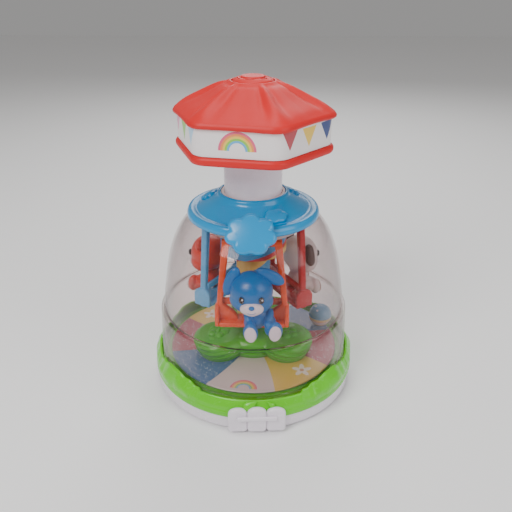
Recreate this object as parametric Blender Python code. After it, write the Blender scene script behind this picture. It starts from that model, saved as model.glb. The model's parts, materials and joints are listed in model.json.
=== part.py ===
"""Push-down carousel toy: a hat on a stem is pressed, and a twisted strip spins the carousel inside a clear dome.

Metres, +Z up. The origin is on the centre line where the feet stand, and the front of the toy faces -Y.
Turning angles are measured from the front (-Y) towards +X.
"""

import math

import bmesh
import bpy
from mathutils import Matrix, Vector

MM = 0.001

# Clearances
SEAT_GAP = 0.3 * MM  # between two pieces that rest on each other
RUN_GAP = 0.5 * MM  # between a moving piece and what guides it

# Base
PAN_R = 86.0 * MM
PAN_FLOOR_Z = 1.0 * MM
PAN_FLOOR_T = 2.5 * MM
PAN_WALL = 2.2 * MM
PAN_TOP_Z = 12.7 * MM
PIN_R = 2.5 * MM
PIN_TOP_Z = 22.0 * MM
BOSS_R = 7.0 * MM
BOSS_TOP_Z = 8.0 * MM
FOOT_R = 6.0 * MM
FOOT_INSET = 1.2 * MM
FOOT_RING_R = 72.0 * MM
FOOT_COUNT = 3
BASE_SCREW_RING_R = 58.0 * MM
COVER_R = 87.0 * MM
COVER_WALL = 2.4 * MM
COVER_BOSS_R = 4.0 * MM
DECK_TOP_Z = 25.5 * MM
DECK_T = 2.0 * MM
DECK_HOLE_R = 28.0 * MM
RIM_CREST_Z = 28.3 * MM
HILL_HEIGHT = 9.0 * MM
HILL_HALF_WIDTH = 22.0  # degrees
HILL_ANGLES = (50.0, 92.0, 127.0, 233.0, 268.0, 310.0)
HILL_SHARES = (1.0, 0.6, 0.9, 0.9, 0.6, 1.0)
FENCE_ANGLES = (3.5, 183.5)
PICKET_W = 15.6 * MM
PICKET_H = 24.5 * MM
PICKET_T = 3.0 * MM
RAIL_W = 32.0 * MM
RAIL_H = 3.6 * MM
RAIL_Z = 14.5 * MM

# Clear housing
SKIRT_FOOT_R = 81.0 * MM
SKIRT_TOP_R = 79.4 * MM
SKIRT_TOP_Z = 70.5 * MM
CLEAR_WALL = 1.8 * MM
DOME_FOOT_R = 76.5 * MM
DOME_HOLE_R = 27.0 * MM
# (radius, height above the dome's foot) of the outer face
DOME_OUTLINE = (
    (76.5 * MM, 0.0 * MM),
    (75.5 * MM, 13.5 * MM),
    (73.2 * MM, 29.0 * MM),
    (70.0 * MM, 46.5 * MM),
    (64.8 * MM, 62.5 * MM),
    (58.4 * MM, 74.0 * MM),
    (52.0 * MM, 80.5 * MM),
    (44.0 * MM, 84.4 * MM),
    (34.0 * MM, 86.2 * MM),
)

# Plunger and hat
TRAVEL = 26.0 * MM
TUBE_R = 23.0 * MM
TUBE_WALL = 2.0 * MM
TUBE_FOOT_Z = 154.0 * MM
STOP_R = 24.8 * MM
STOP_T = 2.0 * MM
LEDGE_R = 17.0 * MM
NUT_T = 3.0 * MM
HAT_Z = 206.0 * MM
HAT_TURN = -10.0  # degrees
RIM_CORNER_R = 61.6 * MM
RIM_H = 6.2 * MM
RIM_ROUND = 14.0 * MM
BAND_H = 23.5 * MM
BAND_WALL = 1.8 * MM
ROOF_RISE = 19.5 * MM
ROOF_LIP = 3.6 * MM
ROOF_SCALLOP = 2.2 * MM
ROOF_WALL = 2.0 * MM
CAP_R = 16.0 * MM
CAP_H = 4.6 * MM
FLANGE_R = 33.0 * MM
FLANGE_T = 2.0 * MM
HAT_SCREW_RING_R = 29.0 * MM
HAT_SCREW_COUNT = 3

# Collar and stop button
COLLAR_R = 53.2 * MM
COLLAR_WALL = 2.2 * MM
LIP_TOP_Z = 172.5 * MM
LIP_R = 27.0 * MM
CLOUD_ANGLES = (28.0, 128.0, 250.0)
CLOUD_SPAN = 19.0 * MM
BUTTON_W = 36.0 * MM
BUTTON_H = 28.5 * MM
BUTTON_T = 5.0 * MM
BUTTON_TILT = 35.0  # degrees of lean from the vertical
BUTTON_OUT = 59.4 * MM
BUTTON_Z = 159.2 * MM
HINGE_OUT = 50.0 * MM
HINGE_Z = 156.6 * MM
HINGE_PIN_R = 0.9 * MM
ARM_W = 8.0 * MM
ARM_T = 3.0 * MM
PAD_T = 1.2 * MM

# Drive
STRIP_W = 9.0 * MM
STRIP_T = 3.0 * MM
STRIP_FOOT_Z = 126.0 * MM
STRIP_TOP_Z = 166.0 * MM
LEAD = TRAVEL * 4 / 3  # three quarters of a turn for a full press
ROD_R = 3.2 * MM
ROD_FOOT_Z = 12.0 * MM
CARRIER_R = 5.6 * MM
CARRIER_TOP_Z = 24.0 * MM
PAWL_Z = 15.0 * MM
PAWL_H = 4.0 * MM
PAWL_FOLD = 18.0  # degrees from its place in the teeth
RATCHET_R = 12.6 * MM
RATCHET_DEPTH = 1.5 * MM
RATCHET_TEETH = 12
SPRING_R = 8.4 * MM
SPRING_WIRE_R = 0.6 * MM
SPRING_TURNS = 5

# Carousel
HUB_R = 15.6 * MM
HUB_FLANGE_R = 24.0 * MM
HUB_FLANGE_T = 1.0 * MM
DISC_R = 73.0 * MM
DISC_T = 1.5 * MM
DISC_Z = 27.2 * MM
PLATFORM_H = 20.0 * MM
LOBE_CENTRE_R = 33.0 * MM
LOBE_R = 23.0 * MM
NOTCH_R = 33.0 * MM
LOBE_BLEND = 7.0 * MM
LOBE_ANGLES = (60.0, 180.0, 300.0)
FLOWER_PETALS = 5
FLOWER_R = 10.0 * MM
FLOWER_T = 1.6 * MM
COLUMN_R = 14.2 * MM
COLUMN_WALL = 2.0 * MM
CROWN_FLOOR_Z = 121.3 * MM
CROWN_CUP_R = 27.5 * MM
CROWN_WALL = 2.0 * MM
CROWN_FLANGE_Z = 144.0 * MM
CROWN_FLANGE_T = 3.0 * MM
CROWN_R = 40.0 * MM
EAR_X = 12.0 * MM
EAR_T = 3.0 * MM
CAROUSEL_SCREW_RING_R = 20.0 * MM

# Swings, each in its own frame with the pivot at the origin
SWING_R = 33.0 * MM
SWING_PIVOT_Z = 140.5 * MM
SWING_ANGLES = {"front": 0.0, "left": 240.0, "right": 120.0}
SWING_PIN_R = 1.0 * MM
POST_W = 6.0 * MM
POST_TOP_X = 20.3 * MM
POST_FOOT_X = 27.5 * MM
FRAME_T = 5.6 * MM
SEAT_DROP = 72.0 * MM  # pivot down to the seat's underside
SEAT_T = 4.0 * MM
SEAT_FRONT = 9.0 * MM
SEAT_BACK = 7.5 * MM
HEAD_R = 17.0 * MM
BALL_R = 10.5 * MM
BALL_WALL = 1.2 * MM
BALL_ANGLE = 114.0
BALL_RING_R = 67.3 * MM

# Screws
SCREW_R = 1.2 * MM
SCREW_HOLE_R = 1.6 * MM
SCREW_HEAD_R = 3.0 * MM
SCREW_HEAD_T = 1.2 * MM

COLOURS = {
    "white": ((0.92, 0.90, 0.93, 1.0), 0.35, 0.0),
    "green": ((0.18, 0.62, 0.05, 1.0), 0.30, 0.0),
    "red": ((0.83, 0.07, 0.06, 1.0), 0.35, 0.0),
    "blue": ((0.02, 0.36, 0.72, 1.0), 0.25, 0.0),
    "sky": ((0.35, 0.68, 0.90, 1.0), 0.35, 0.0),
    "orange": ((0.95, 0.22, 0.06, 1.0), 0.35, 0.0),
    "coral": ((0.85, 0.16, 0.12, 1.0), 0.40, 0.0),
    "brown": ((0.10, 0.05, 0.03, 1.0), 0.45, 0.0),
    "cream": ((0.90, 0.84, 0.80, 1.0), 0.45, 0.0),
    "yellow": ((0.85, 0.55, 0.15, 1.0), 0.35, 0.0),
    "clear": ((0.95, 0.95, 0.97, 0.3), 0.05, 0.0),
    "steel": ((0.62, 0.62, 0.64, 1.0), 0.30, 1.0),
    "rubber": ((0.05, 0.05, 0.05, 1.0), 0.80, 0.0),
    "print": ((0.85, 0.80, 0.75, 1.0), 0.30, 0.0),
}


# ---------------------------------------------------------------- helpers


def clear_scene():
    for obj in list(bpy.data.objects):
        bpy.data.objects.remove(obj)


def material(name):
    found = bpy.data.materials.get(name)
    if found:
        return found
    colour, roughness, metallic = COLOURS[name]
    made = bpy.data.materials.new(name)
    made.use_nodes = True
    shader = made.node_tree.nodes["Principled BSDF"]
    shader.inputs["Base Color"].default_value = colour
    shader.inputs["Alpha"].default_value = colour[3]
    shader.inputs["Roughness"].default_value = roughness
    shader.inputs["Metallic"].default_value = metallic
    return made


def object_from(mesh_data, name, colour, parent=None):
    """Puts a finished bmesh into the scene as a named object."""
    bmesh.ops.recalc_face_normals(mesh_data, faces=mesh_data.faces)
    mesh = bpy.data.meshes.new(name)
    mesh_data.to_mesh(mesh)
    mesh_data.free()
    mesh.materials.append(material(colour))
    mesh.shade_smooth()
    mesh.set_sharp_from_angle(angle=math.radians(35))
    obj = bpy.data.objects.new(name, mesh)
    bpy.context.scene.collection.objects.link(obj)
    obj.parent = parent
    return obj


def empty(name, location=(0, 0, 0), turn=0.0):
    obj = bpy.data.objects.new(name, None)
    obj.location = location
    obj.rotation_euler.z = math.radians(turn)
    bpy.context.scene.collection.objects.link(obj)
    return obj


def boolean(target, other, operation):
    """Joins or cuts the target with a helper object, which is kept as a hidden guide."""
    modifier = target.modifiers.new(f"{operation} {other.name}", "BOOLEAN")
    modifier.operation = operation
    modifier.solver = "EXACT"
    modifier.object = other
    other.hide_render = True
    other.display_type = "WIRE"


def cut(target, *others):
    for other in others:
        boolean(target, other, "DIFFERENCE")


def join(target, *others):
    for other in others:
        boolean(target, other, "UNION")


def ring_points(ring, steps):
    """One ring's points round the axis. A ring is (radius, height), or a function of the angle that gives them."""
    points = []
    for i in range(steps):
        angle = 360.0 * i / steps
        radius, height = ring(angle) if callable(ring) else ring
        a = math.radians(angle)
        points.append((radius * math.sin(a), -radius * math.cos(a), height))
    return points


def turned(name, rings, steps, colour, parent=None, closed=True):
    """A solid swept round the Z axis through its rings.

    A closed section comes back to its first ring. An open one ends at both sides on the axis.
    """
    shape = bmesh.new()
    loops = []
    for ring in rings:
        if not callable(ring) and ring[0] == 0:
            loops.append([shape.verts.new((0, 0, ring[1]))])
        else:
            loops.append([shape.verts.new(p) for p in ring_points(ring, steps)])
    pairs = list(zip(loops, loops[1:] + loops[:1]))
    for low, high in pairs if closed else pairs[:-1]:
        for i in range(steps):
            j = (i + 1) % steps
            corners = [low[i % len(low)], low[j % len(low)], high[j % len(high)], high[i % len(high)]]
            face = list(dict.fromkeys(corners))
            if len(face) > 2:
                shape.faces.new(face)
    return object_from(shape, name, colour, parent)


def box(name, low, high, colour, parent=None):
    shape = bmesh.new()
    bmesh.ops.create_cube(shape, size=1)
    size = Vector(high) - Vector(low)
    bmesh.ops.scale(shape, vec=size, verts=shape.verts)
    bmesh.ops.translate(shape, vec=(Vector(high) + Vector(low)) / 2, verts=shape.verts)
    return object_from(shape, name, colour, parent)


def ball(name, centre, radii, colour, parent=None, segments=12, turn=(0, 0, 0)):
    """An ellipsoid with its half-axes along X, Y and Z, turned by the angles in degrees."""
    shape = bmesh.new()
    bmesh.ops.create_uvsphere(shape, u_segments=segments, v_segments=segments * 2 // 3, radius=1)
    bmesh.ops.scale(shape, vec=radii, verts=shape.verts)
    for axis, angle in zip("XYZ", turn):
        rotation = Matrix.Rotation(math.radians(angle), 3, axis)
        bmesh.ops.rotate(shape, cent=(0, 0, 0), matrix=rotation, verts=shape.verts)
    bmesh.ops.translate(shape, vec=centre, verts=shape.verts)
    return object_from(shape, name, colour, parent)


def rods(name, places, radius, low, high, colour, parent=None, steps=12, axis="Z"):
    """Round bars that all run from low to high along an axis, at the places given in the other two directions."""
    shape = bmesh.new()
    for place in places:
        made = bmesh.ops.create_cone(
            shape, cap_ends=True, segments=steps, radius1=radius, radius2=radius, depth=high - low
        )["verts"]
        bmesh.ops.translate(shape, vec=(0, 0, (low + high) / 2), verts=made)
        if axis == "X":
            rotation = Matrix.Rotation(math.radians(90), 3, "Y")
            bmesh.ops.rotate(shape, cent=(0, 0, 0), matrix=rotation, verts=made)
            bmesh.ops.translate(shape, vec=(0, place[0], place[1]), verts=made)
        else:
            bmesh.ops.translate(shape, vec=(place[0], place[1], 0), verts=made)
    return object_from(shape, name, colour, parent)


def plate(name, outline, low, high, colour, parent=None, matrix=None):
    """A flat outline in X and Y, given thickness along Z from low to high, then placed by a matrix."""
    shape = bmesh.new()
    face = shape.faces.new([shape.verts.new((x, y, low)) for x, y in outline])
    raised = bmesh.ops.extrude_face_region(shape, geom=[face])["geom"]
    top = [v for v in raised if isinstance(v, bmesh.types.BMVert)]
    bmesh.ops.translate(shape, vec=(0, 0, high - low), verts=top)
    if matrix:
        bmesh.ops.transform(shape, matrix=matrix, verts=shape.verts)
    return object_from(shape, name, colour, parent)


def around(radius, angle):
    a = math.radians(angle)
    return radius * math.sin(a), -radius * math.cos(a)


def ring_places(radius, count, first=0.0):
    return [around(radius, first + 360.0 * i / count) for i in range(count)]


def screw(name, place, head_z, length, parent=None):
    """A pan-head screw that points up, with its head underneath."""
    rings = (
        (0, head_z),
        (SCREW_HEAD_R - 0.6 * MM, head_z),
        (SCREW_HEAD_R, head_z + SCREW_HEAD_T / 2),
        (SCREW_HEAD_R, head_z + SCREW_HEAD_T),
        (SCREW_R, head_z + SCREW_HEAD_T),
        (SCREW_R, head_z + length - SCREW_R),
        (0, head_z + length),
    )
    made = turned(name, rings, 8, "steel", parent, closed=False)
    made.location = (place[0], place[1], 0)
    return made


def cloud_outline(width, height, bumps=6, points=36):
    """A puffy outline: a flattened circle with round bumps."""
    outline = []
    for i in range(points):
        a = 2 * math.pi * i / points
        swell = 1 - 0.16 * (1 - abs(math.cos(bumps * a / 2 + math.pi / 2)))
        outline.append((width / 2 * swell * math.cos(a), height / 2 * swell * math.sin(a)))
    return outline


def flower_outline(points=30):
    """A flower with round petals, drawn as a wavy circle."""
    outline = []
    for i in range(points):
        a = 2 * math.pi * i / points
        radius = FLOWER_R * (0.82 + 0.18 * math.cos(FLOWER_PETALS * a))
        outline.append((radius * math.cos(a), radius * math.sin(a)))
    return outline


# ---------------------------------------------------------------- base


def hill(angle):
    """Height of the green rim's hills above its crest, all round."""
    height = 0.0
    for centre, share in zip(HILL_ANGLES, HILL_SHARES):
        away = abs((angle - centre + 180) % 360 - 180)
        if away < HILL_HALF_WIDTH:
            height = max(height, share * HILL_HEIGHT * math.cos(math.pi / 2 * away / HILL_HALF_WIDTH))
    return height


def base_screw_places():
    return ring_places(BASE_SCREW_RING_R, 3, 60)


def make_fence(index, angle, pan):
    """Three round-topped pickets and their rail, on the pan's wall."""
    half = PICKET_W / 2
    stand = Matrix.Rotation(math.radians(angle), 4, "Z") @ Matrix.Rotation(math.radians(90), 4, "X")
    for k in (-1, 0, 1):
        lift = 1.2 * MM if k == 0 else 0.0
        middle = k * (PICKET_W - 0.5 * MM)
        low = PAN_FLOOR_Z + 1.0 * MM + lift / 2
        top = PICKET_H + lift - half * 0.8
        arc = [(half * math.cos(math.pi * i / 6), half * 0.8 * math.sin(math.pi * i / 6)) for i in range(7)]
        outline = [(middle + x, top + y) for x, y in arc]
        outline += [(middle - half, low), (middle + half, low)]
        inner = PAN_R + (0.9 * MM if k == 0 else -0.1 * MM)
        picket = plate(f"picket_{index}_{k + 1}", outline, inner, inner + PICKET_T, "white", matrix=stand)
        join(pan, picket)
    reach = PAN_R + PICKET_T + 1.7 * MM
    rail = [(-RAIL_W / 2, RAIL_Z), (RAIL_W / 2, RAIL_Z), (RAIL_W / 2, RAIL_Z + RAIL_H), (-RAIL_W / 2, RAIL_Z + RAIL_H)]
    join(pan, plate(f"rail_{index}", rail, PAN_R + 1.6 * MM, reach, "white", matrix=stand))
    web = [(x * PICKET_W * 1.2, PAN_FLOOR_Z + z) for x, z in ((-1, 3 * MM), (1, 3 * MM), (1, 9 * MM), (-1, 9 * MM))]
    join(pan, plate(f"web_{index}", web, PAN_R - PAN_WALL - 1.5 * MM, PAN_R + 1.3 * MM, "white", matrix=stand))


def make_base():
    inside = PAN_FLOOR_Z + PAN_FLOOR_T
    pin_hole = PIN_R + SEAT_GAP
    pan = turned(
        "base_pan",
        (
            (0, PAN_FLOOR_Z),
            (PAN_R - 2.0 * MM, PAN_FLOOR_Z),
            (PAN_R - 0.6 * MM, PAN_FLOOR_Z + 1.4 * MM),
            (PAN_R, PAN_TOP_Z),
            (PAN_R - PAN_WALL, PAN_TOP_Z),
            (PAN_R - PAN_WALL - 0.6 * MM, inside),
            (BOSS_R, inside),
            (BOSS_R, BOSS_TOP_Z),
            (pin_hole, BOSS_TOP_Z),
            (pin_hole, inside - 1.0 * MM),
            (0, inside - 1.0 * MM),
        ),
        40,
        "white",
        closed=False,
    )
    for index, angle in enumerate(FENCE_ANGLES):
        make_fence(index, angle, pan)
    feet = ring_places(FOOT_RING_R, FOOT_COUNT)
    pocket_top = PAN_FLOOR_Z + FOOT_INSET
    cut(pan, rods("foot_pockets", feet, FOOT_R + SEAT_GAP, -MM, pocket_top, "white", steps=16))
    for index, place in enumerate(feet):
        rods(f"rubber_foot_{index + 1}", [place], FOOT_R, 0, pocket_top - SEAT_GAP, "rubber", steps=16)

    screws = base_screw_places()
    head_z = PAN_FLOOR_Z + 0.2 * MM
    seat_z = head_z + SCREW_HEAD_T + SEAT_GAP
    cut(pan, rods("head_pockets", screws, SCREW_HEAD_R + SEAT_GAP, -MM, seat_z, "white"))
    cut(pan, rods("pan_holes", screws, SCREW_HOLE_R, -MM, inside + MM, "white"))
    for index, place in enumerate(screws):
        screw(f"base_screw_{index + 1}", place, head_z, 13 * MM)

    pin_rings = (
        (0, inside - 1.0 * MM + SEAT_GAP),
        (PIN_R, inside - 1.0 * MM + SEAT_GAP),
        (PIN_R, PIN_TOP_Z - 1.0 * MM),
        (PIN_R - 1.0 * MM, PIN_TOP_Z),
        (0, PIN_TOP_Z),
    )
    turned("pivot_pin", pin_rings, 16, "steel", closed=False)
    make_cover(screws)


def make_cover(screws):
    deck_low = DECK_TOP_Z - DECK_T
    bore = SKIRT_FOOT_R + SEAT_GAP
    foot = PAN_TOP_Z + SEAT_GAP
    rings = (
        (COVER_R - 0.5 * MM, foot),
        (COVER_R, foot + 3.0 * MM),
        lambda a: (COVER_R - 1.0 * MM + hill(a) * 0.10, foot + 8.0 * MM + hill(a) * 0.35),
        lambda a: (COVER_R - 2.8 * MM + hill(a) * 0.14, RIM_CREST_Z - 2.0 * MM + hill(a) * 0.9),
        lambda a: (bore + 1.5 * MM, RIM_CREST_Z + hill(a)),
        lambda a: (bore, RIM_CREST_Z - 0.4 * MM + hill(a)),
        (bore, DECK_TOP_Z),
        (DECK_HOLE_R, DECK_TOP_Z),
        (DECK_HOLE_R, deck_low),
        (bore - 1.0 * MM, deck_low),
        (COVER_R - COVER_WALL - 0.8 * MM, deck_low - 4.0 * MM),
        (COVER_R - COVER_WALL - 0.5 * MM, foot),
    )
    cover = turned("base_cover", rings, 48, "green")
    join(cover, rods("cover_bosses", screws, COVER_BOSS_R, 4.0 * MM, DECK_TOP_Z - 1.0 * MM, "green"))
    cut(cover, rods("cover_pilots", screws, SCREW_R + SEAT_GAP, 3.0 * MM, 16.0 * MM, "green"))
    for index, angle in enumerate(FENCE_ANGLES):
        behind = box(
            f"fence_room_{index}",
            (-PICKET_W * 1.6, -(PAN_R + 9.0 * MM), foot - MM),
            (PICKET_W * 1.6, -(PAN_R - 0.5 * MM), PICKET_H + 3.0 * MM),
            "green",
        )
        behind.rotation_euler.z = math.radians(angle)
        cut(cover, behind)


# ---------------------------------------------------------------- clear housing


def dome_rings():
    """The dome's outer face from foot to hole, then its inner face back to the foot."""
    foot = SKIRT_TOP_Z + SEAT_GAP
    outer = [(r, foot + h) for r, h in DOME_OUTLINE]
    last = outer[-1]
    outer.append((DOME_HOLE_R, last[1] + 0.6 * MM))
    inner = []
    for i, (r, z) in enumerate(outer):
        before, after = outer[max(i - 1, 0)], outer[min(i + 1, len(outer) - 1)]
        along = Vector((after[0] - before[0], after[1] - before[1])).normalized()
        inner.append((r - along.y * CLEAR_WALL, z + along.x * CLEAR_WALL))
    inner[0] = (outer[0][0] - CLEAR_WALL, foot)
    inner[-1] = (DOME_HOLE_R, outer[-1][1] - CLEAR_WALL)
    return outer + inner[::-1]


def dome_top_z():
    return dome_rings()[len(DOME_OUTLINE)][1]


def button_slot():
    """Room for the stop button's arm through the dome and the collar."""
    return box(
        "button_slot",
        (-ARM_W / 2 - RUN_GAP, -60 * MM, 138 * MM),
        (ARM_W / 2 + RUN_GAP, -(CROWN_R + 0.6 * MM), HINGE_Z + ARM_T + 1.6 * MM),
        "clear",
    )


def make_housing(slot):
    foot = DECK_TOP_Z + SEAT_GAP
    ledge_r = DOME_FOOT_R - CLEAR_WALL - 0.2 * MM
    turned(
        "dome_skirt",
        (
            (SKIRT_FOOT_R, foot),
            (SKIRT_FOOT_R, foot + 2.0 * MM),
            (SKIRT_TOP_R, SKIRT_TOP_Z),
            (ledge_r, SKIRT_TOP_Z),
            (ledge_r, SKIRT_TOP_Z - CLEAR_WALL),
            (SKIRT_TOP_R - CLEAR_WALL, SKIRT_TOP_Z - CLEAR_WALL),
            (SKIRT_FOOT_R - CLEAR_WALL, foot + CLEAR_WALL),
            (SKIRT_FOOT_R - 4.5 * MM, foot + CLEAR_WALL),
            (SKIRT_FOOT_R - 4.5 * MM, foot),
        ),
        32,
        "clear",
    )
    dome = turned("dome", dome_rings(), 32, "clear")
    cut(dome, slot)


# ---------------------------------------------------------------- collar and stop button


def make_collar(slot, hinge_holes):
    """The blue ring on top of the dome, with the bush that guides the stem."""
    under = [(r + 0.2 * MM, z + SEAT_GAP + 0.2 * MM) for r, z in dome_rings()[6 : len(DOME_OUTLINE)]]
    rings = [
        (LIP_R, LIP_TOP_Z),
        (LIP_R + 1.6 * MM, LIP_TOP_Z - 1.0 * MM),
        (LIP_R + 2.4 * MM, LIP_TOP_Z - 4.0 * MM),
        (35.0 * MM, 164.0 * MM),
        (45.0 * MM, 158.6 * MM),
        (47.5 * MM, 159.6 * MM),
        (50.5 * MM, 159.4 * MM),
        (52.6 * MM, 157.6 * MM),
        (COLLAR_R, 155.0 * MM),
    ]
    rings += under[:3]
    rings += [
        (35.5 * MM, under[2][1] + 1.0 * MM),
        (34.0 * MM, 161.5 * MM),
        (LIP_R - 0.2 * MM, 166.5 * MM),
    ]
    rings[0] = (LIP_R - 1.2 * MM, LIP_TOP_Z)
    rings[-1] = (LIP_R - 1.2 * MM, 165.5 * MM)
    collar = turned("collar", rings, 32, "blue")
    lean = Matrix.Rotation(math.radians(30), 4, "X")
    for index, angle in enumerate(CLOUD_ANGLES):
        turn = Matrix.Rotation(math.radians(angle), 4, "Z")
        place = turn @ Matrix.Translation((0, -38.5 * MM, 161.6 * MM)) @ lean
        outline = cloud_outline(CLOUD_SPAN, CLOUD_SPAN * 0.72, points=12)
        join(collar, plate(f"cloud_{index}", outline, -1.5 * MM, 2.2 * MM, "blue", matrix=place))
    cut(collar, slot, hinge_holes)

    top = dome_top_z() + SEAT_GAP
    bore = TUBE_R + RUN_GAP
    turned(
        "guide_bush",
        (
            (bore, top - 1.0 * MM),
            (DOME_HOLE_R - SEAT_GAP - 0.2 * MM, top - 1.0 * MM),
            (DOME_HOLE_R - SEAT_GAP - 0.2 * MM, top),
            (32.0 * MM, top),
            (32.0 * MM, top + 1.6 * MM),
            (LIP_R - 1.2 * MM - SEAT_GAP, top + 2.4 * MM),
            (LIP_R - 1.2 * MM - SEAT_GAP, LIP_TOP_Z - 0.8 * MM),
            (bore, LIP_TOP_Z - 0.8 * MM),
        ),
        24,
        "white",
    )


def make_button():
    """The cloud that is pressed to stop the carousel, its hinge pin and its brake pad."""
    pivot = empty("button_pivot", (0, -HINGE_OUT, HINGE_Z))
    lean = Matrix.Rotation(math.radians(90 - BUTTON_TILT), 4, "X")
    centre = Vector((0, HINGE_OUT - BUTTON_OUT, BUTTON_Z - HINGE_Z))
    place = Matrix.Translation(centre) @ lean
    outline = cloud_outline(BUTTON_W, BUTTON_H)
    button = plate("brake_button", outline, -BUTTON_T, 0, "blue", pivot, matrix=place)
    half = ARM_W / 2
    reach = HINGE_OUT - CROWN_R - 1.2 * MM
    arm = box("arm", (-half, -9.0 * MM, -ARM_T / 2), (half, 2.2 * MM, ARM_T / 2), "blue", pivot)
    inner = box("arm_inner", (-half, -0.5 * MM, -1.0 * MM - ARM_T), (half, reach, -ARM_T / 2 + 0.4 * MM), "blue", pivot)
    tongue = box("arm_tip", (-half, reach - 2.6 * MM, -12.0 * MM), (half, reach - MM, -ARM_T), "blue", pivot)
    join(button, arm, inner, tongue)
    cut(button, rods("button_bore", [(0, 0)], HINGE_PIN_R + SEAT_GAP, -9 * MM, 9 * MM, "blue", pivot, axis="X"))
    pad_in = reach - MM + SEAT_GAP
    box("brake_pad", (-half, pad_in, -11.6 * MM), (half, pad_in + PAD_T, -7.6 * MM), "rubber", pivot)
    rods("brake_pin", [(-HINGE_OUT, HINGE_Z)], HINGE_PIN_R, -8.4 * MM, 8.4 * MM, "steel", axis="X", steps=10)


# ---------------------------------------------------------------- plunger and hat


def hexagon(corner_r, roundness):
    """Radius of a hexagon with rounded corners, as a function of the angle. A flat side faces the front."""
    apothem = corner_r * math.cos(math.radians(30)) + roundness * (1 - math.cos(math.radians(30)))
    centre = (apothem - roundness) / math.cos(math.radians(30))
    tangent = math.degrees(math.atan((apothem - roundness) * math.tan(math.radians(30)) / apothem))

    def radius(angle):
        off = (angle + 30) % 60 - 30
        if abs(off) <= tangent:
            return apothem / math.cos(math.radians(off))
        away = math.radians(30 - abs(off))
        return centre * math.cos(away) + math.sqrt(roundness**2 - (centre * math.sin(away)) ** 2)

    return radius


def hex_ring(corner_r, roundness, height):
    outline = hexagon(corner_r, roundness)
    return lambda angle: (outline(angle), height)


def roof_ring(corner_r, height, fold=0.0, drop=0.0):
    """A ring of the draped roof: ridges at the corners, hollows along the sides, and a hem that dips at the corners."""
    outline = hexagon(corner_r, max(corner_r - 44.0 * MM, corner_r * 0.22))

    def ring(angle):
        off = abs((angle + 30) % 60 - 30) / 30
        wave = 0.5 - 0.5 * math.cos(math.pi * off)
        return outline(angle), height + fold * (wave - 0.5) - drop * wave

    return ring


def make_hat(hat):
    seat = HAT_Z + RIM_H
    plate_z = HAT_Z + 0.6 * MM
    inner = RIM_CORNER_R - 6.0 * MM
    turned(
        "hat_rim",
        (
            hex_ring(RIM_CORNER_R - 1.2 * MM, RIM_ROUND, HAT_Z),
            hex_ring(RIM_CORNER_R, RIM_ROUND, HAT_Z + 1.4 * MM),
            hex_ring(RIM_CORNER_R, RIM_ROUND, seat - 1.4 * MM),
            hex_ring(RIM_CORNER_R - 1.4 * MM, RIM_ROUND, seat),
            hex_ring(inner, RIM_ROUND, seat),
            hex_ring(inner, RIM_ROUND, plate_z + 2.2 * MM),
            (TUBE_R + SEAT_GAP, plate_z + 2.2 * MM),
            (TUBE_R + SEAT_GAP, plate_z),
            hex_ring(RIM_CORNER_R - 4.0 * MM, RIM_ROUND, plate_z),
            hex_ring(RIM_CORNER_R - 4.0 * MM, RIM_ROUND, HAT_Z),
        ),
        48,
        "red",
        hat,
    )
    rim = bpy.data.objects["hat_rim"]
    places = ring_places(HAT_SCREW_RING_R, HAT_SCREW_COUNT, 30)
    cut(rim, rods("rim_holes", places, SCREW_HOLE_R, HAT_Z - MM, HAT_Z + 6 * MM, "red", hat, steps=8))
    for index, place in enumerate(places):
        screw(f"hat_screw_{index + 1}", place, plate_z - SCREW_HEAD_T - SEAT_GAP, 4.6 * MM, hat)

    band_r = RIM_CORNER_R - 2.4 * MM
    band_foot = seat + SEAT_GAP
    band_top = band_foot + BAND_H
    turned(
        "hat_band",
        (
            hex_ring(band_r, RIM_ROUND, band_foot),
            hex_ring(band_r, RIM_ROUND, band_top),
            hex_ring(band_r - BAND_WALL, RIM_ROUND, band_top),
            hex_ring(band_r - BAND_WALL, RIM_ROUND, band_foot),
        ),
        48,
        "print",
        hat,
    )
    make_roof(hat, band_r, band_top)


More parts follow.
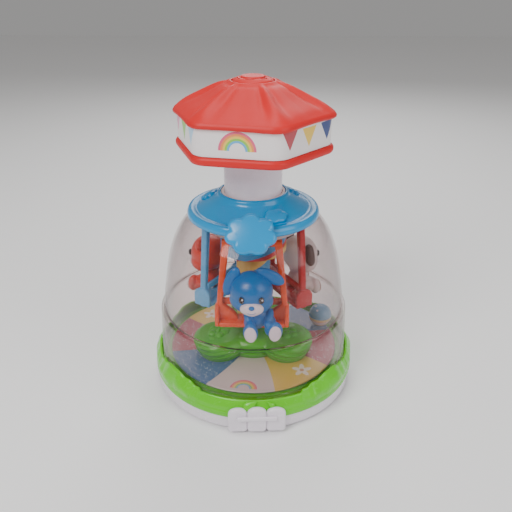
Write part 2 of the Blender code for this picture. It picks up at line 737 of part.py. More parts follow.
def make_roof(hat, band_r, band_top):
    edge_r = band_r + SEAT_GAP + ROOF_WALL
    hem = band_top - ROOF_LIP + ROOF_SCALLOP
    crown = band_top + SEAT_GAP
    top = crown + ROOF_RISE + 1.5 * MM
    spans = (
        (edge_r - 1.0 * MM, crown + 1.6 * MM, 1.0 * MM),
        (edge_r * 0.84, crown + 5.2 * MM, 3.4 * MM),
        (edge_r * 0.62, crown + 11.2 * MM, 4.2 * MM),
        (edge_r * 0.40, crown + 17.8 * MM, 2.8 * MM),
        (CAP_R + 1.4 * MM, top - 0.6 * MM, 0.0),
    )
    rings = [roof_ring(edge_r, hem, drop=ROOF_SCALLOP)]
    rings.append(roof_ring(edge_r + 0.4 * MM, hem + 2.4 * MM, drop=ROOF_SCALLOP * 0.6))
    rings += [roof_ring(r, z, fold) for r, z, fold in spans]
    rings += [(CAP_R + 0.2 * MM, top - 2.0 * MM), (CAP_R - 3.0 * MM, top - 2.0 * MM)]
    rings += [(CAP_R - 3.0 * MM, top - 4.0 * MM), (CAP_R - 1.0 * MM, top - 4.2 * MM)]
    for r, z, fold in spans[-2::-1]:
        rings.append(roof_ring(r - ROOF_WALL * 0.5, z - ROOF_WALL - 0.4 * MM, fold))
    rings.pop()
    rings.append(roof_ring(band_r + SEAT_GAP, crown, drop=0.0))
    rings.append(roof_ring(band_r + SEAT_GAP, hem, drop=ROOF_SCALLOP))
    turned("hat_roof", rings, 48, "red", hat)

    cap_foot = top - 2.0 * MM + SEAT_GAP
    cap = turned(
        "hat_cap",
        (
            (0, cap_foot),
            (CAP_R - 0.4 * MM, cap_foot),
            (CAP_R - 0.4 * MM, cap_foot + CAP_H * 0.45),
            (CAP_R - 2.2 * MM, cap_foot + CAP_H * 0.75),
            (CAP_R - 5.5 * MM, cap_foot + CAP_H * 0.85),
            (CAP_R - 6.5 * MM, cap_foot + CAP_H),
            (CAP_R - 11.0 * MM, cap_foot + CAP_H),
            (0, cap_foot + CAP_H),
        ),
        24,
        "red",
        hat,
        closed=False,
    )
    holes = ring_places(CAP_R - 4.0 * MM, 6)
    cut(cap, rods("cap_holes", holes, 1.1 * MM, cap_foot + CAP_H * 0.4, cap_foot + 2 * CAP_H, "red", hat, steps=8))


def make_plunger(hat):
    flange_z = HAT_Z + 0.6 * MM + 2.2 * MM + SEAT_GAP
    inner = TUBE_R - TUBE_WALL
    tube = turned(
        "plunger_tube",
        (
            (STOP_R, TUBE_FOOT_Z),
            (STOP_R, TUBE_FOOT_Z + STOP_T),
            (TUBE_R, TUBE_FOOT_Z + STOP_T),
            (TUBE_R, flange_z),
            (FLANGE_R, flange_z),
            (FLANGE_R, flange_z + FLANGE_T),
            (inner, flange_z + FLANGE_T),
            (inner, TUBE_FOOT_Z + STOP_T),
            (LEDGE_R, TUBE_FOOT_Z + STOP_T),
            (LEDGE_R, TUBE_FOOT_Z),
        ),
        32,
        "white",
        hat,
    )
    places = ring_places(HAT_SCREW_RING_R, HAT_SCREW_COUNT, 30)
    cut(tube, rods("flange_pilots", places, SCREW_R + SEAT_GAP, HAT_Z, HAT_Z + 9 * MM, "white", hat, steps=8))

    nut_z = TUBE_FOOT_Z + STOP_T + SEAT_GAP
    nut = turned(
        "drive_nut",
        (
            (0, nut_z),
            (inner - SEAT_GAP, nut_z),
            (inner - SEAT_GAP, nut_z + NUT_T),
            (0, nut_z + NUT_T),
        ),
        32,
        "white",
        closed=False,
    )
    play = 1.5 * MM
    slot = twisted_strip("nut_slot", STRIP_W + play, STRIP_T + play, nut_z - 2 * MM, nut_z + NUT_T + 2 * MM)
    cut(nut, slot)


# ---------------------------------------------------------------- drive


def twist(z):
    """Angle of the twisted strip at a height, in radians."""
    return 2 * math.pi * (z - STRIP_FOOT_Z) / LEAD


def twisted_strip(name, width, thickness, low, high):
    """A flat strip twisted round Z, so that pushing a slotted nut along it turns it."""
    shape = bmesh.new()
    step = LEAD / 24
    first = math.floor(low / step)
    levels = [low] + [k * step for k in range(first + 1, math.ceil(high / step))] + [high]
    corners = [(width / 2, thickness / 2), (-width / 2, thickness / 2)]
    corners += [(-width / 2, -thickness / 2), (width / 2, -thickness / 2)]
    loops = []
    for z in levels:
        c, s = math.cos(twist(z)), math.sin(twist(z))
        loops.append([shape.verts.new((x * c - y * s, x * s + y * c, z)) for x, y in corners])
    for lower, upper in zip(loops, loops[1:]):
        for i in range(4):
            shape.faces.new((lower[i], lower[(i + 1) % 4], upper[(i + 1) % 4], upper[i]))
    shape.faces.new(loops[0])
    shape.faces.new(loops[-1])
    return object_from(shape, name, "steel")


def make_drive():
    bore = PIN_R + SEAT_GAP
    spindle = turned(
        "spindle",
        (
            (0, PIN_TOP_Z + SEAT_GAP),
            (bore, PIN_TOP_Z + SEAT_GAP),
            (bore, ROD_FOOT_Z),
            (CARRIER_R, ROD_FOOT_Z),
            (CARRIER_R, CARRIER_TOP_Z),
            (ROD_R, CARRIER_TOP_Z + 2.0 * MM),
            (ROD_R, STRIP_FOOT_Z + 2.0 * MM),
            (0, STRIP_FOOT_Z + 2.0 * MM),
        ),
        16,
        "steel",
        closed=False,
    )
    join(spindle, twisted_strip("strip", STRIP_W, STRIP_T, STRIP_FOOT_Z, STRIP_TOP_Z))
    for index, angle in enumerate((0.0, 180.0)):
        make_pawl(index, angle, spindle)

    foot = CROWN_FLOOR_Z + CROWN_WALL + SEAT_GAP + SPRING_WIRE_R
    head = TUBE_FOOT_Z + STOP_T - SPRING_WIRE_R
    points = SPRING_TURNS * 12
    curve = bpy.data.curves.new("return_spring", "CURVE")
    curve.dimensions = "3D"
    curve.bevel_depth = SPRING_WIRE_R
    curve.bevel_resolution = 1
    curve.use_fill_caps = True
    spline = curve.splines.new("POLY")
    spline.points.add(points)
    for i in range(points + 1):
        a = 2 * math.pi * i / 12
        z = foot + (head - foot) * i / points
        spline.points[i].co = (SPRING_R * math.cos(a), SPRING_R * math.sin(a), z, 1)
    curve.materials.append(material("steel"))
    spring = bpy.data.objects.new("return_spring", curve)
    bpy.context.scene.collection.objects.link(spring)


def make_pawl(index, angle, spindle):
    """A one-way pawl on the spindle's carrier. At rest it is folded in, clear of the ratchet's teeth."""
    turn = math.radians(angle)
    arm_x, arm_y = 7.2 * MM, 0.0
    seat = Matrix.Rotation(turn, 4, "Z")
    x, y, _ = seat @ Vector((arm_x, arm_y, 0))
    pivot = empty(f"pawl_pivot_{index + 1}", (x, y, 0), angle)
    lug = box(
        f"lug_{index + 1}",
        (4.0 * MM, -1.8 * MM, PAWL_Z - 2.4 * MM),
        (9.0 * MM, 1.8 * MM, PAWL_Z - SEAT_GAP),
        "steel",
    )
    lug.rotation_euler.z = turn
    peg = rods(f"peg_{index + 1}", [(arm_x, arm_y)], 0.8 * MM, PAWL_Z - MM, PAWL_Z + PAWL_H, "steel", steps=8)
    peg.rotation_euler.z = turn
    join(spindle, lug, peg)
    outline = [(1.9 * MM, -1.2 * MM), (2.7 * MM, 1.0 * MM), (3.7 * MM, 4.2 * MM), (2.3 * MM, 4.6 * MM)]
    outline += [(-0.2 * MM, 2.0 * MM), (-1.2 * MM, 0.6 * MM), (-0.6 * MM, -1.7 * MM)]
    fold = Matrix.Rotation(math.radians(PAWL_FOLD), 4, "Z")
    pawl = plate(f"clutch_pawl_{index + 1}", outline, PAWL_Z, PAWL_Z + PAWL_H - SEAT_GAP, "white", pivot, fold)
    hole = rods(f"pawl_bore_{index + 1}", [(0, 0)], 1.1 * MM, PAWL_Z - MM, PAWL_Z + 2 * PAWL_H, "white", pivot, steps=8)
    cut(pawl, hole)


# ---------------------------------------------------------------- carousel


def carousel_holes():
    places = ring_places(CAROUSEL_SCREW_RING_R, 3, 60)
    return places, rods("carousel_holes", places, SCREW_HOLE_R, 20 * MM, 38.5 * MM, "green", steps=8)


def ratchet_wall(height):
    """The clutch cup's toothed wall: each tooth rises slowly and drops steeply."""

    def ring(angle):
        pitch = 360.0 / RATCHET_TEETH
        share = (angle % pitch) / pitch
        return RATCHET_R - RATCHET_DEPTH * (1 - share), height

    return ring


def make_hub(holes):
    flange_z = DISC_Z - SEAT_GAP - HUB_FLANGE_T
    low = BOSS_TOP_Z + SEAT_GAP
    hub = turned(
        "rotor_hub",
        (
            (PIN_R + SEAT_GAP, low),
            (HUB_R, low),
            (HUB_R, flange_z),
            (HUB_FLANGE_R, flange_z),
            (HUB_FLANGE_R, flange_z + HUB_FLANGE_T),
            ratchet_wall(flange_z + HUB_FLANGE_T),
            ratchet_wall(low + 3.4 * MM),
            (PIN_R + SEAT_GAP, low + 3.4 * MM),
        ),
        48,
        "white",
    )
    cut(hub, holes)


def trefoil(inset):
    """Radius of the three-lobed platform's outline, drawn in by an inset."""

    def radius(angle):
        away = min(abs((angle - lobe + 180) % 360 - 180) for lobe in LOBE_ANGLES)
        side = LOBE_CENTRE_R * math.sin(math.radians(away))
        reach = LOBE_R - inset
        lobe = 0.0
        if abs(side) < reach:
            lobe = LOBE_CENTRE_R * math.cos(math.radians(away)) + math.sqrt(reach**2 - side**2)
        core = NOTCH_R - inset
        blend = max(LOBE_BLEND - abs(lobe - core), 0) ** 2 / (4 * LOBE_BLEND)
        return max(lobe, core) + blend

    return radius


def platform_ring(inset, height):
    outline = trefoil(inset)
    return lambda angle: (outline(angle), height)


def make_platform(holes):
    foot = DISC_Z + DISC_T + SEAT_GAP
    top = foot + PLATFORM_H
    inner = COLUMN_R - COLUMN_WALL - 1.0 * MM
    platform = turned(
        "platform",
        (
            platform_ring(5.0 * MM, foot),
            platform_ring(1.2 * MM, foot + PLATFORM_H * 0.30),
            platform_ring(0, foot + PLATFORM_H * 0.62),
            platform_ring(1.6 * MM, foot + PLATFORM_H * 0.85),
            platform_ring(5.5 * MM, foot + PLATFORM_H * 0.96),
            (24.0 * MM, top),
            (inner, top),
            (inner, foot),
        ),
        48,
        "green",
    )
    for lobe, angle in enumerate(LOBE_ANGLES):
        x, y = around(LOBE_CENTRE_R, angle)
        place = Matrix.Translation((x, y, top)) @ Matrix.Rotation(math.radians(angle), 4, "Z")
        join(platform, plate(f"flower_{lobe}", flower_outline(), -3.0 * MM, FLOWER_T, "green", matrix=place))
    cut(platform, holes)
    return foot, top


def make_carousel():
    places, holes = carousel_holes()
    make_hub(holes)
    disc = turned(
        "floor_disc",
        (
            (HUB_R + 1.0 * MM, DISC_Z),
            (DISC_R, DISC_Z),
            (DISC_R, DISC_Z + DISC_T),
            (HUB_R + 1.0 * MM, DISC_Z + DISC_T),
        ),
        40,
        "print",
    )
    cut(disc, holes)
    foot, top = make_platform(holes)
    head_z = DISC_Z - SEAT_GAP - HUB_FLANGE_T - SEAT_GAP - SCREW_HEAD_T
    for index, place in enumerate(places):
        screw(f"carousel_screw_{index + 1}", place, head_z, 13 * MM)

    turned(
        "column",
        (
            (COLUMN_R, top + SEAT_GAP),
            (COLUMN_R, CROWN_FLOOR_Z - SEAT_GAP),
            (COLUMN_R - COLUMN_WALL, CROWN_FLOOR_Z - SEAT_GAP),
            (COLUMN_R - COLUMN_WALL, top + SEAT_GAP),
        ),
        24,
        "blue",
    )
    make_crown()


def make_crown():
    """The cup on top of the column, and the ring on it that carries the swings and meets the brake pad."""
    floor_top = CROWN_FLOOR_Z + CROWN_WALL
    bore = STRIP_W / 2 + 1.0 * MM
    turned(
        "crown_cup",
        (
            (bore, CROWN_FLOOR_Z),
            (CROWN_CUP_R, CROWN_FLOOR_Z),
            (CROWN_CUP_R, CROWN_FLANGE_Z - SEAT_GAP),
            (CROWN_CUP_R - CROWN_WALL, CROWN_FLANGE_Z - SEAT_GAP),
            (CROWN_CUP_R - CROWN_WALL, floor_top),
            (bore, floor_top),
        ),
        32,
        "cream",
    )
    crown = turned(
        "swing_ring",
        (
            (CROWN_CUP_R - CROWN_WALL, CROWN_FLANGE_Z),
            (CROWN_R, CROWN_FLANGE_Z),
            (CROWN_R, CROWN_FLANGE_Z + CROWN_FLANGE_T),
            (CROWN_CUP_R - CROWN_WALL, CROWN_FLANGE_Z + CROWN_FLANGE_T),
        ),
        32,
        "cream",
    )
    for name, angle in SWING_ANGLES.items():
        for side in (-1, 1):
            ear = box(
                f"ear_{name}_{side + 1}",
                (side * EAR_X - EAR_T / 2, -(SWING_R + 2.8 * MM), SWING_PIVOT_Z - 2.8 * MM),
                (side * EAR_X + EAR_T / 2, -(SWING_R - 2.8 * MM), CROWN_FLANGE_Z + 1.0 * MM),
                "cream",
            )
            ear.rotation_euler.z = math.radians(angle)
            join(crown, ear)
        reach = EAR_X + 2 * EAR_T
        bore_r = SWING_PIN_R + SEAT_GAP
        hole = rods(
            f"ear_bore_{name}", [(-SWING_R, SWING_PIVOT_Z)], bore_r, -reach, reach, "cream", steps=8, axis="X"
        )
        hole.rotation_euler.z = math.radians(angle)
        cut(crown, hole)


# ---------------------------------------------------------------- swings and figures


def make_swing(name, angle, colour):
    """One swing: posts, seat and back rail in one piece, on a steel pin. Its frame has the pivot at the origin."""
    x, y = around(SWING_R, angle)
    pivot = empty(f"swing_{name}", (x, y, SWING_PIVOT_Z), angle)
    half = POST_W / 2
    low = -SEAT_DROP
    side = [
        (POST_TOP_X + half, 0),
        (POST_FOOT_X + half, low),
        (-POST_FOOT_X - half, low),
        (-POST_TOP_X - half, 0),
        (-POST_TOP_X + half, 0),
        (-POST_FOOT_X + half + 0.8 * MM, low + 20 * MM),
        (-POST_FOOT_X + 13 * MM, low + 5.5 * MM),
        (POST_FOOT_X - 13 * MM, low + 5.5 * MM),
        (POST_FOOT_X - half - 0.8 * MM, low + 20 * MM),
        (POST_TOP_X - half, 0),
    ]
    stand = Matrix.Rotation(math.radians(90), 4, "X")
    frame = plate(f"swing_frame_{name}", side[::-1], -FRAME_T / 2, FRAME_T / 2, colour, pivot, matrix=stand)
    seat = box(
        f"seat_{name}",
        (-POST_FOOT_X + MM, -SEAT_FRONT, low + 0.2 * MM),
        (POST_FOOT_X - MM, SEAT_BACK, low + 0.2 * MM + SEAT_T),
        colour,
        pivot,
    )
    rail = box(
        f"back_rail_{name}",
        (-POST_FOOT_X + 2 * MM, FRAME_T / 2 - 1.2 * MM, low + 15.5 * MM),
        (POST_FOOT_X - 2 * MM, FRAME_T / 2 + 1.4 * MM, low + 21.5 * MM),
        colour,
        pivot,
    )
    join(frame, seat, rail)
    barrel_in = EAR_X + EAR_T / 2 + RUN_GAP
    barrel_out = POST_TOP_X + half
    for sign in (-1, 1):
        ends = sorted((sign * barrel_in, sign * barrel_out))
        barrel = rods(f"barrel_{name}_{sign + 1}", [(0, 0)], 3.0 * MM, *ends, colour, pivot, axis="X", steps=10)
        join(frame, barrel)
    reach = barrel_out + MM
    cut(frame, rods(f"bore_{name}", [(0, 0)], SWING_PIN_R + SEAT_GAP, -reach, reach, colour, pivot, axis="X", steps=8))
    rods(f"swing_pin_{name}", [(0, 0)], SWING_PIN_R, -barrel_out, barrel_out, "steel", pivot, axis="X", steps=8)
    return pivot


def make_figure(name, pivot, fur, face, ears, tilt, shift):
    """A seated toy animal in its swing's frame, facing -Y. Ears is a list of (centre, radii, turn, side)."""
    seat_top = -SEAT_DROP + 0.2 * MM + SEAT_T + SEAT_GAP
    head_c = Vector((0, -13.0 * MM, seat_top + 31.5 * MM))
    head_radii = Vector((HEAD_R + 0.6 * MM, HEAD_R - 1.2 * MM, HEAD_R))
    grow = Vector((SEAT_GAP, SEAT_GAP, SEAT_GAP))
    head = ball(f"{name}_head", head_c, head_radii, fur, pivot, segments=12, turn=tilt)
    head_room = ball(f"{name}_head_room", head_c, head_radii + grow, fur, pivot, segments=12, turn=tilt)

    hip = Vector((shift, -11.4 * MM, seat_top + 7.0 * MM))
    body = ball(f"{name}_body", hip, (10.0 * MM, 8.0 * MM, 12.5 * MM), fur, pivot, 10)
    for sign in (-1, 1):
        leg_c = Vector((shift + sign * 8.0 * MM, -17.0 * MM, seat_top + 3.6 * MM))
        leg = ball(f"{name}_leg_{sign + 1}", leg_c, (5.0 * MM, 10.5 * MM, 5.0 * MM), fur, pivot, 8, (0, 0, 8 * sign))
        foot_c = Vector((shift * 1.3 + sign * 9.6 * MM, -24.5 * MM, seat_top + 2.0 * MM))
        foot = ball(f"{name}_foot_{sign + 1}", foot_c, (6.0 * MM, 4.6 * MM, 8.0 * MM), fur, pivot, 8)
        arm_c = Vector((shift + sign * 8.6 * MM, -14.5 * MM, seat_top + 10.6 * MM))
        arm = ball(f"{name}_arm_{sign + 1}", arm_c, (3.4 * MM, 7.6 * MM, 3.4 * MM), fur, pivot, 6, (32, 0, 12 * sign))
        join(body, leg, foot, arm)
    seat_edge = -SEAT_FRONT - SEAT_GAP
    floor = box(f"{name}_floor", (-40 * MM, seat_edge, seat_top - 20 * MM), (40 * MM, 12 * MM, seat_top), fur, pivot)
    cut(body, floor, head_room)

    muzzle_c = head_c + Vector((0.6 * MM, -HEAD_R + 3.2 * MM, -7.2 * MM))
    muzzle = ball(f"{name}_muzzle", muzzle_c, (9.8 * MM, 5.2 * MM, 6.4 * MM), face, pivot, 10)
    cut(muzzle, head_room)
    for side, (centre, radii, turn, colour) in ears.items():
        place = head_c + Vector(centre)
        if colour:
            ear = ball(f"{name}_ear_{side}", place, radii, colour, pivot, 10, turn)
            cut(ear, head_room)
        else:
            join(head, ball(f"{name}_ear_{side}_lobe", place, radii, fur, pivot, 10, turn))


def make_figures(pivots):
    drooping = {
        "left": ((-15.5 * MM, 1.0 * MM, 8.5 * MM), (5.6 * MM, 4.4 * MM, 13.0 * MM), (0, 20, 0), "blue"),
        "right": ((14.5 * MM, 1.0 * MM, 13.0 * MM), (5.6 * MM, 4.4 * MM, 12.0 * MM), (0, -62, 0), "blue"),
    }
    make_figure("bunny", pivots["front"], "blue", "white", drooping, (0, 4, 0), 7.0 * MM)
    rounded = {
        "left": ((-12.5 * MM, 0.5 * MM, 13.0 * MM), (6.0 * MM, 3.8 * MM, 6.0 * MM), (0, 0, 0), None),
        "right": ((12.5 * MM, 0.5 * MM, 13.0 * MM), (6.0 * MM, 3.8 * MM, 6.0 * MM), (0, 0, 0), None),
    }
    make_figure("bear", pivots["left"], "coral", "cream", rounded, (0, 0, 0), 0.0)
    floppy = {
        "left": ((-17.0 * MM, 0.5 * MM, 6.0 * MM), (4.6 * MM, 5.6 * MM, 9.6 * MM), (0, 18, 0), "brown"),
        "right": ((17.0 * MM, 0.5 * MM, 6.0 * MM), (4.6 * MM, 5.6 * MM, 9.6 * MM), (0, -18, 0), "brown"),
    }
    make_figure("puppy", pivots["right"], "cream", "white", floppy, (0, 0, 0), 0.0)


def make_ball():
    """The loose ball on the floor, moulded in two halves."""
    x, y = around(BALL_RING_R, BALL_ANGLE)
    centre = empty("ball_centre", (x, y, DISC_Z + DISC_T + SEAT_GAP + BALL_R), BALL_ANGLE)
    for name, sign, colour in (("ball_upper", 1, "blue"), ("ball_lower", -1, "yellow")):
        edge = SEAT_GAP / 2
        outer = [(BALL_R * math.cos(a), BALL_R * math.sin(a)) for a in arc_angles(edge / BALL_R)]
        hollow = BALL_R - BALL_WALL
        inner = [(hollow * math.cos(a), hollow * math.sin(a)) for a in arc_angles(edge / hollow)]
        rings = [(r, sign * z) for r, z in outer] + [(0, sign * BALL_R)]
        rings = [(0, sign * hollow)] + [(r, sign * z) for r, z in inner[::-1]] + rings
        turned(name, rings, 12, colour, centre, closed=False)


def arc_angles(first):
    """Angles from the ball's equator to just short of its pole."""
    return [math.asin(first)] + [math.radians(90 * k / 5) for k in range(1, 5)]


def main():
    clear_scene()
    make_base()
    slot = button_slot()
    make_housing(slot)
    hinge_holes = rods(
        "hinge_holes", [(-HINGE_OUT, HINGE_Z)], HINGE_PIN_R + SEAT_GAP, -9 * MM, 9 * MM, "blue", axis="X"
    )
    make_collar(slot, hinge_holes)
    make_button()
    hat = empty("hat", (0, 0, 0), HAT_TURN)
    make_hat(hat)
    make_plunger(hat)
    make_drive()
    make_carousel()
    colours = {"front": "orange", "left": "sky", "right": "red"}
    pivots = {name: make_swing(name, angle, colours[name]) for name, angle in SWING_ANGLES.items()}
    make_figures(pivots)
    make_ball()


main()
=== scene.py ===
"""Push-down carousel toy: the finished look of every piece, laid out as a Blender add-on.

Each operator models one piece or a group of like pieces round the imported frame, and the stage operator adds
the floor, the lights and the camera. Angles are in degrees from the front (-Y) towards +X.
"""

import json
import math

import bmesh
import bpy
from bpy.props import FloatProperty, FloatVectorProperty, IntProperty, PointerProperty
from mathutils import Matrix, Vector


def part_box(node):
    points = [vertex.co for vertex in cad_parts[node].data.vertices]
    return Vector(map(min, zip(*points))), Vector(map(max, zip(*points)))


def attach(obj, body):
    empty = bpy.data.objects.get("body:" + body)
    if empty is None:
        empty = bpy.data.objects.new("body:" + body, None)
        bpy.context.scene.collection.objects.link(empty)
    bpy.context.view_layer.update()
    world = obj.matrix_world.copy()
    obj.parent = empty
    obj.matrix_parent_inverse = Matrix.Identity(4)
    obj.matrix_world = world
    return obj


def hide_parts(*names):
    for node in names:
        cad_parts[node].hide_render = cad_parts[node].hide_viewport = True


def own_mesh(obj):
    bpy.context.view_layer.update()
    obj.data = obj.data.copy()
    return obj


bl_info = {
    "name": "Push-down carousel toy",
    "version": (1, 0, 0),
    "blender": (4, 5, 0),
    "location": "View3D > Sidebar > Carousel",
    "description": "Models and finishes the pieces of a push-down carousel toy",
    "category": "Object",
}

MM = 0.001
GAP = 0.3 * MM
FULL_TURN = 2 * math.pi

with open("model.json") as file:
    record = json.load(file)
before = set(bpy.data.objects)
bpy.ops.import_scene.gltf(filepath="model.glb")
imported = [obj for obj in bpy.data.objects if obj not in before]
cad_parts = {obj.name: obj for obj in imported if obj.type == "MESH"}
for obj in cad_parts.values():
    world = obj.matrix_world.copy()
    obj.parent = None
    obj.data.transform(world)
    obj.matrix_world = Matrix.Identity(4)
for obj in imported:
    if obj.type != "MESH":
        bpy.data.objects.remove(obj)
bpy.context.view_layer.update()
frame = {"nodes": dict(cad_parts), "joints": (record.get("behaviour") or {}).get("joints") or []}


# ---------------------------------------------------------------- sizes read from the frame


def low(node):
    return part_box(node)[0]


def high(node):
    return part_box(node)[1]


def joint(name):
    return next(j for j in frame["joints"] if j["name"] == name)


def swing_place(name):
    """The matrix from a swing's own frame, with its pivot at the origin, to the toy's frame."""
    x, y, z = joint(f"swing_{name}_pivot")["pos_m"]
    return Matrix.Translation((x, y, z)) @ Matrix.Rotation(math.atan2(x, -y), 4, "Z")


# ---------------------------------------------------------------- modelling helpers


def around(radius, angle):
    """X and Y of a place at a radius and an angle from the front."""
    a = math.radians(angle)
    return radius * math.sin(a), -radius * math.cos(a)


def apart(angle, other):
    """Degrees between two directions, the short way round."""
    return abs((angle - other + 180) % 360 - 180)


def unit(value):
    """The value, held between 0 and 1."""
    return min(1, max(0, value))


def millimetres(*values):
    return Vector(values) * MM


def turned_by(angle, axis):
    return Matrix.Rotation(math.radians(angle), 4, axis)


def arc(centre, radii, start, stop, steps):
    """Points along an ellipse's arc, with angles in degrees from +X."""
    points = []
    for i in range(steps + 1):
        a = math.radians(start + (stop - start) * i / steps)
        points.append((centre[0] + radii[0] * math.cos(a), centre[1] + radii[1] * math.sin(a)))
    return points


def only(obj):
    """Selects one object and nothing else."""
    bpy.ops.object.select_all(action="DESELECT")
    obj.select_set(True)
    bpy.context.view_layer.objects.active = obj


def edit(obj):
    """Opens one object in edit mode with all of its vertices selected."""
    only(obj)
    bpy.ops.object.mode_set(mode="EDIT")
    bpy.ops.mesh.select_mode(type="VERT")
    bpy.ops.mesh.select_all(action="SELECT")


def done():
    bpy.ops.object.mode_set(mode="OBJECT")


def pick(test, kind="FACE"):
    """Selects the parts of the mesh in edit mode that pass a test of their own."""
    bpy.ops.mesh.select_mode(type=kind)
    bpy.ops.mesh.select_all(action="DESELECT")
    data = bpy.context.object.data
    mesh = bmesh.from_edit_mesh(data)
    for element in {"VERT": mesh.verts, "EDGE": mesh.edges, "FACE": mesh.faces}[kind]:
        if test(element):
            element.select_set(True)
    mesh.select_flush_mode()
    bmesh.update_edit_mesh(data)


def named(name):
    """Names the object that an operator has just made, and returns it."""
    obj = bpy.context.object
    obj.name = name
    obj.data.name = name
    return obj


def freeze(obj):
    """Puts the object's place and turn into its mesh."""
    only(obj)
    bpy.ops.object.transform_apply(location=True, rotation=True, scale=True)


def move(obj, matrix):
    obj.matrix_world = matrix @ obj.matrix_world
    freeze(obj)


def apply_modifier(obj, kind, **settings):
    modifier = obj.modifiers.new(kind.title(), kind)
    for name, value in settings.items():
        setattr(modifier, name, value)
    only(obj)
    bpy.ops.object.modifier_apply(modifier=modifier.name)


def union(name, pieces):
    """Several objects as one, their meshes side by side."""
    bpy.ops.object.select_all(action="DESELECT")
    for piece in pieces:
        piece.select_set(True)
    bpy.context.view_layer.objects.active = pieces[0]
    bpy.ops.object.join()
    return named(name)


def outward(obj):
    """Merges doubled vertices and turns every face outwards."""
    edit(obj)
    bpy.ops.mesh.remove_doubles(threshold=1e-6)
    bpy.ops.mesh.normals_make_consistent(inside=False)
    done()


def arc_between(before, corner, after, fillet, steps=4):
    """The points that round off one corner of a profile."""
    corner, before, after = Vector(corner), Vector(before), Vector(after)
    start = corner + (before - corner).normalized() * min(fillet, (before - corner).length * 0.45)
    end = corner + (after - corner).normalized() * min(fillet, (after - corner).length * 0.45)
    points = []
    for i in range(steps + 1):
        t = i / steps
        points.append(tuple(start * (1 - t) ** 2 + corner * 2 * t * (1 - t) + end * t**2))
    return points


def rounded(profile, closed=True):
    """A profile of (radius, height, fillet) with each corner rounded by its fillet."""
    points = []
    for i, (radius, height, fillet) in enumerate(profile):
        before, after = profile[i - 1], profile[(i + 1) % len(profile)]
        ends = not closed and i in (0, len(profile) - 1)
        if fillet and not ends:
            points += arc_between(before[:2], (radius, height), after[:2], fillet)
        else:
            points.append((radius, height))
    return points


def flowing(points, steps=6):
    """A smooth curve through (radius, height) points."""
    ends = [points[0], *points, points[-1]]
    curve = []
    for before, start, end, after in zip(ends, ends[1:], ends[2:], ends[3:]):
        a, b, c, d = (Vector(p) for p in (before, start, end, after))
        for i in range(steps):
            t = i / steps
            bend = (2 * a - 5 * b + 4 * c - d) * t * t + (3 * b - a - 3 * c + d) * t**3
            curve.append(tuple((2 * b + (c - a) * t + bend) / 2))
    return [*curve, tuple(points[-1])]


def turned(name, profile, steps=None, closed=True):
    """A turned piece: a circle is extruded and resized along its profile, then closed."""
    steps = steps or bpy.context.scene.carousel_sizes.turn_steps
    open_foot = profile[0][0] > 0
    radius, height = profile[0] if open_foot else profile[1]
    bpy.ops.object.select_all(action="DESELECT")
    bpy.ops.mesh.primitive_circle_add(vertices=steps, radius=radius, location=(0, 0, height))
    obj = named(name)
    freeze(obj)
    edit(obj)
    rest = profile[1:] if open_foot else profile[2:]
    for next_radius, next_height in rest:
        move_by = {"value": (0, 0, next_height - height)}
        bpy.ops.mesh.extrude_region_move(TRANSFORM_OT_translate=move_by)
        if next_radius <= 0:
            bpy.ops.mesh.merge(type="CENTER")
            break
        share = next_radius / radius
        bpy.ops.transform.resize(value=(share, share, 1), center_override=(0, 0, 0))
        radius, height = next_radius, next_height
    bpy.ops.mesh.select_mode(type="EDGE")
    bpy.ops.mesh.select_all(action="DESELECT")
    bpy.ops.mesh.select_non_manifold()
    if closed:
        bpy.ops.mesh.bridge_edge_loops()
    elif not open_foot:
        move_by = {"value": (0, 0, profile[0][1] - profile[1][1])}
        bpy.ops.mesh.extrude_region_move(TRANSFORM_OT_translate=move_by)
        bpy.ops.mesh.merge(type="CENTER")
    done()
    outward(obj)
    return obj


def reshape(obj, rule):
    """Moves every vertex by a rule that takes and returns its radius, angle and height."""
    for vertex in obj.data.vertices:
        x, y, z = vertex.co
        radius, angle, height = rule(math.hypot(x, y), math.degrees(math.atan2(x, -y)), z)
        vertex.co = (*around(radius, angle), height)
    obj.data.update()


def blob(name, centre, radii, turn=(0, 0, 0), segments=32):
    """An ellipsoid with its half-axes along X, Y and Z, turned by degrees."""
    bpy.ops.object.select_all(action="DESELECT")
    bpy.ops.mesh.primitive_uv_sphere_add(segments=segments, ring_count=segments // 2, radius=1)
    obj = named(name)
    obj.matrix_world = Matrix.LocRotScale(Vector(centre), None, Vector(radii))
    rotation = Matrix.Identity(4)
    for axis, angle in zip("XYZ", turn):
        rotation = turned_by(angle, axis) @ rotation
    move(obj, Matrix.Translation(centre) @ rotation @ Matrix.Translation(-Vector(centre)))
    return obj


def melt(name, blobs, grain, smooth=8):
    """Blobs melted into one skin, as a soft moulding."""
    obj = union(name, blobs)
    apply_modifier(obj, "REMESH", mode="VOXEL", voxel_size=grain)
    apply_modifier(obj, "SMOOTH", factor=0.6, iterations=smooth)
    return obj


def bar(name, lowest, highest, edge=0.5 * MM, segments=3):
    """A bar between two corners, its edges rounded."""
    middle = (Vector(lowest) + Vector(highest)) / 2
    bpy.ops.object.select_all(action="DESELECT")
    bpy.ops.mesh.primitive_cube_add(size=1, location=middle)
    obj = named(name)
    obj.scale = Vector(highest) - Vector(lowest)
    freeze(obj)
    edit(obj)
    bpy.ops.mesh.bevel(offset=edge, offset_type="OFFSET", segments=segments, affect="EDGES")
    done()
    return obj


